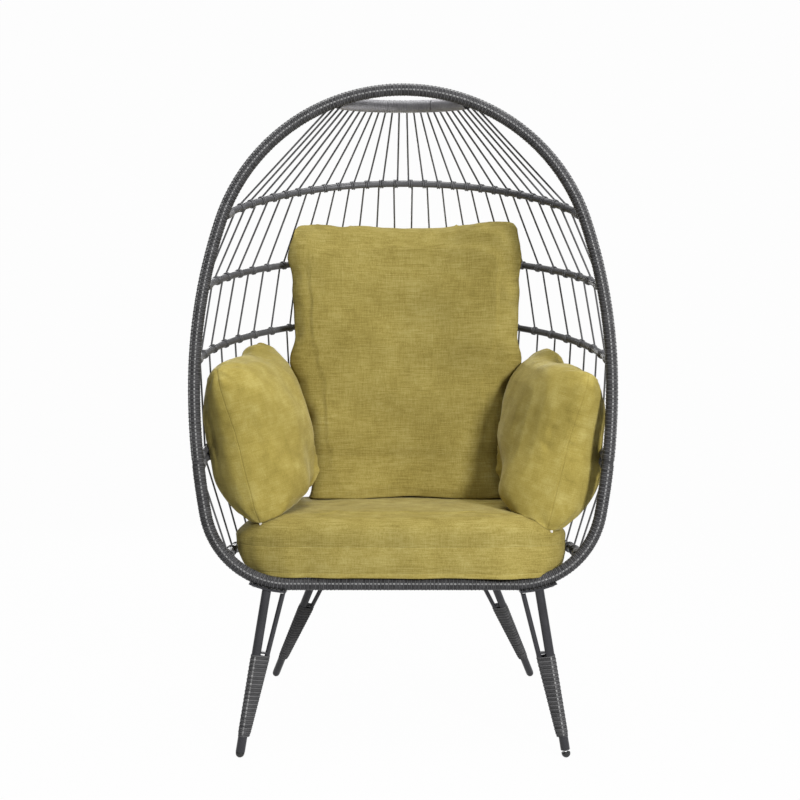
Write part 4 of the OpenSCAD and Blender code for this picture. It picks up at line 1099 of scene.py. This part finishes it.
PUSHES = {
    "left_pillow": [
        (-430, -170, 630, 110, -26, 0, 0), (-380, -200, 530, 70, -18, -4, -4),
        (-440, -150, 780, 70, -8, 0, 0), (-430, -200, 870, 60, 3, 0, -14),
        (-360, 60, 900, 60, -12, 0, 28), (-400, 30, 880, 50, -12, 0, 20),
        (-395, 0, 875, 35, 0, 0, 12), (-270, -210, 520, 60, 20, -4, -8),
        (-240, -120, 550, 60, 24, 0, -12), (-230, -20, 570, 50, 10, -6, 0),
        (-230, -60, 740, 80, 12, 0, 0), (-310, -250, 500, 50, 4, -10, -16)],
    "right_pillow": [
        (420, -170, 630, 120, 34, 0, 0), (380, -200, 530, 80, 34, -4, -10),
        (440, -150, 770, 70, 10, 0, 0), (430, -200, 880, 70, -3, 0, -34),
        (280, 70, 870, 50, 0, 0, -10), (400, -80, 880, 55, 0, 0, -28),
        (360, 50, 890, 50, 22, 0, 12), (385, 0, 870, 30, 0, 0, 12),
        (235, -20, 610, 60, 22, 0, 0), (445, -180, 820, 40, -6, 0, -10),
        (270, -210, 520, 60, -28, -4, -10), (250, -140, 550, 60, -30, 0, -12),
        (310, -250, 500, 60, 0, -15, -32)]}


def zip_end(pillow_name, corner, axes, centre):
    """The tape end of a zip, folded over the corner: a thin oval, w sin u by t cos u,
    carried 9 mm out of the corner, where its width narrows by the root of 1 - 0.9 v^6."""
    out = unit(corner - centre)
    wide, thick = axes[:, 0], unit(np.cross(out, axes[:, 0]))
    v = np.linspace(0.0, 1.0, 9)
    u = np.linspace(0.0, 2.0 * math.pi, 16, endpoint=False)
    narrow = np.sqrt(1.0 - 0.9 * v ** 6)[:, None]
    points = (corner + out * (-0.004 + 0.009 * v)[:, None, None]
              + wide * (0.0034 * narrow * np.sin(u))[..., None]
              + thick * (0.0014 * narrow * np.cos(u))[..., None])
    ends = np.stack([corner - out * 0.004, corner + out * 0.0052])
    return piece_from(pillow_name + "_zip_end", np.concatenate([points.reshape(-1, 3), ends]),
                      closed_tube(len(v), len(u)), zip_tape, body=pillow_name)


tape = Finish("zip_tape")
tape_weave = tape.noise(tape.place(), 1500.0, 2.0)
zip_tape = tape.surface(
    Base_Color=tape.mix(tape_weave, (0.62, 0.60, 0.54), (0.80, 0.78, 0.72)), Roughness=0.85,
    Normal=tape.bump(tape_weave, 0.0001, 0.4))
P_DARK, P_MID, P_LIGHT = (0.235, 0.183, 0.036), (0.338, 0.268, 0.062), (0.455, 0.383, 0.125)
for pillow_name, side in (("left_pillow", 1.0), ("right_pillow", -1.0)):
    centre = PILLOW_AT * [side, 1.0, 1.0]
    turn = PILLOW_TURN * [1.0, side, side]
    axes = turned_axes(turn)
    pillow = stuffed(pillow_name, 0.006, 0.006, 4.0, 0.02)
    points, normals = points_of(pillow), outward(pillow)
    local = (points - centre) @ axes
    seam = np.exp(-(local[:, 0] / 0.004) ** 2)
    gather = 0.0
    for cy, cz in ((-1, -1), (1, -1), (-1, 1), (1, 1)):
        from_tip = local - PILLOW_TIP * np.array([0.0, cy, cz])
        round_tip = np.arctan2(local[:, 0], (local[:, 1] * cy - local[:, 2] * cz) * 0.707)
        near = np.exp(-(np.linalg.norm(from_tip, axis=1) / 0.055) ** 2)
        gather = gather + near * np.sin(9.0 * round_tip + cy) * 0.0022
    swell = ripple(points, [((33.0, 51.0, 14.0), 0.4, 0.0012), ((-9.0, 22.0, 43.0), 1.9, 0.0016)])
    free = step((0.02 - points[:, 1]) / 0.1) * step((points[:, 2] - 0.54) / 0.06)
    points = points + normals * (swell * (0.3 + 0.7 * free) + 0.004 * free + gather
                                 - 0.0016 * seam)[:, None]
    set_points(pillow, moulded(points, PUSHES[pillow_name]))
    rest_against(pillow, seat, back)
    corner = points_of(pillow)[np.argmin(local[:, 1] + local[:, 2])]
    # the pillow's seam is painted darker: painted shade in its groove
    dress(pillow, woven_cloth(pillow_name + "_cloth", P_DARK, P_MID, P_LIGHT,
                              turn=tuple(turn.tolist()), centre=tuple(centre.tolist()),
                              seams=((0, 0.0, 0.0012),), seam_painted_light=-0.10, slub=0.4, pile=0.8,
                              sheen=0.35),
          pillow_name)
    zip_end(pillow_name, corner, axes, centre)
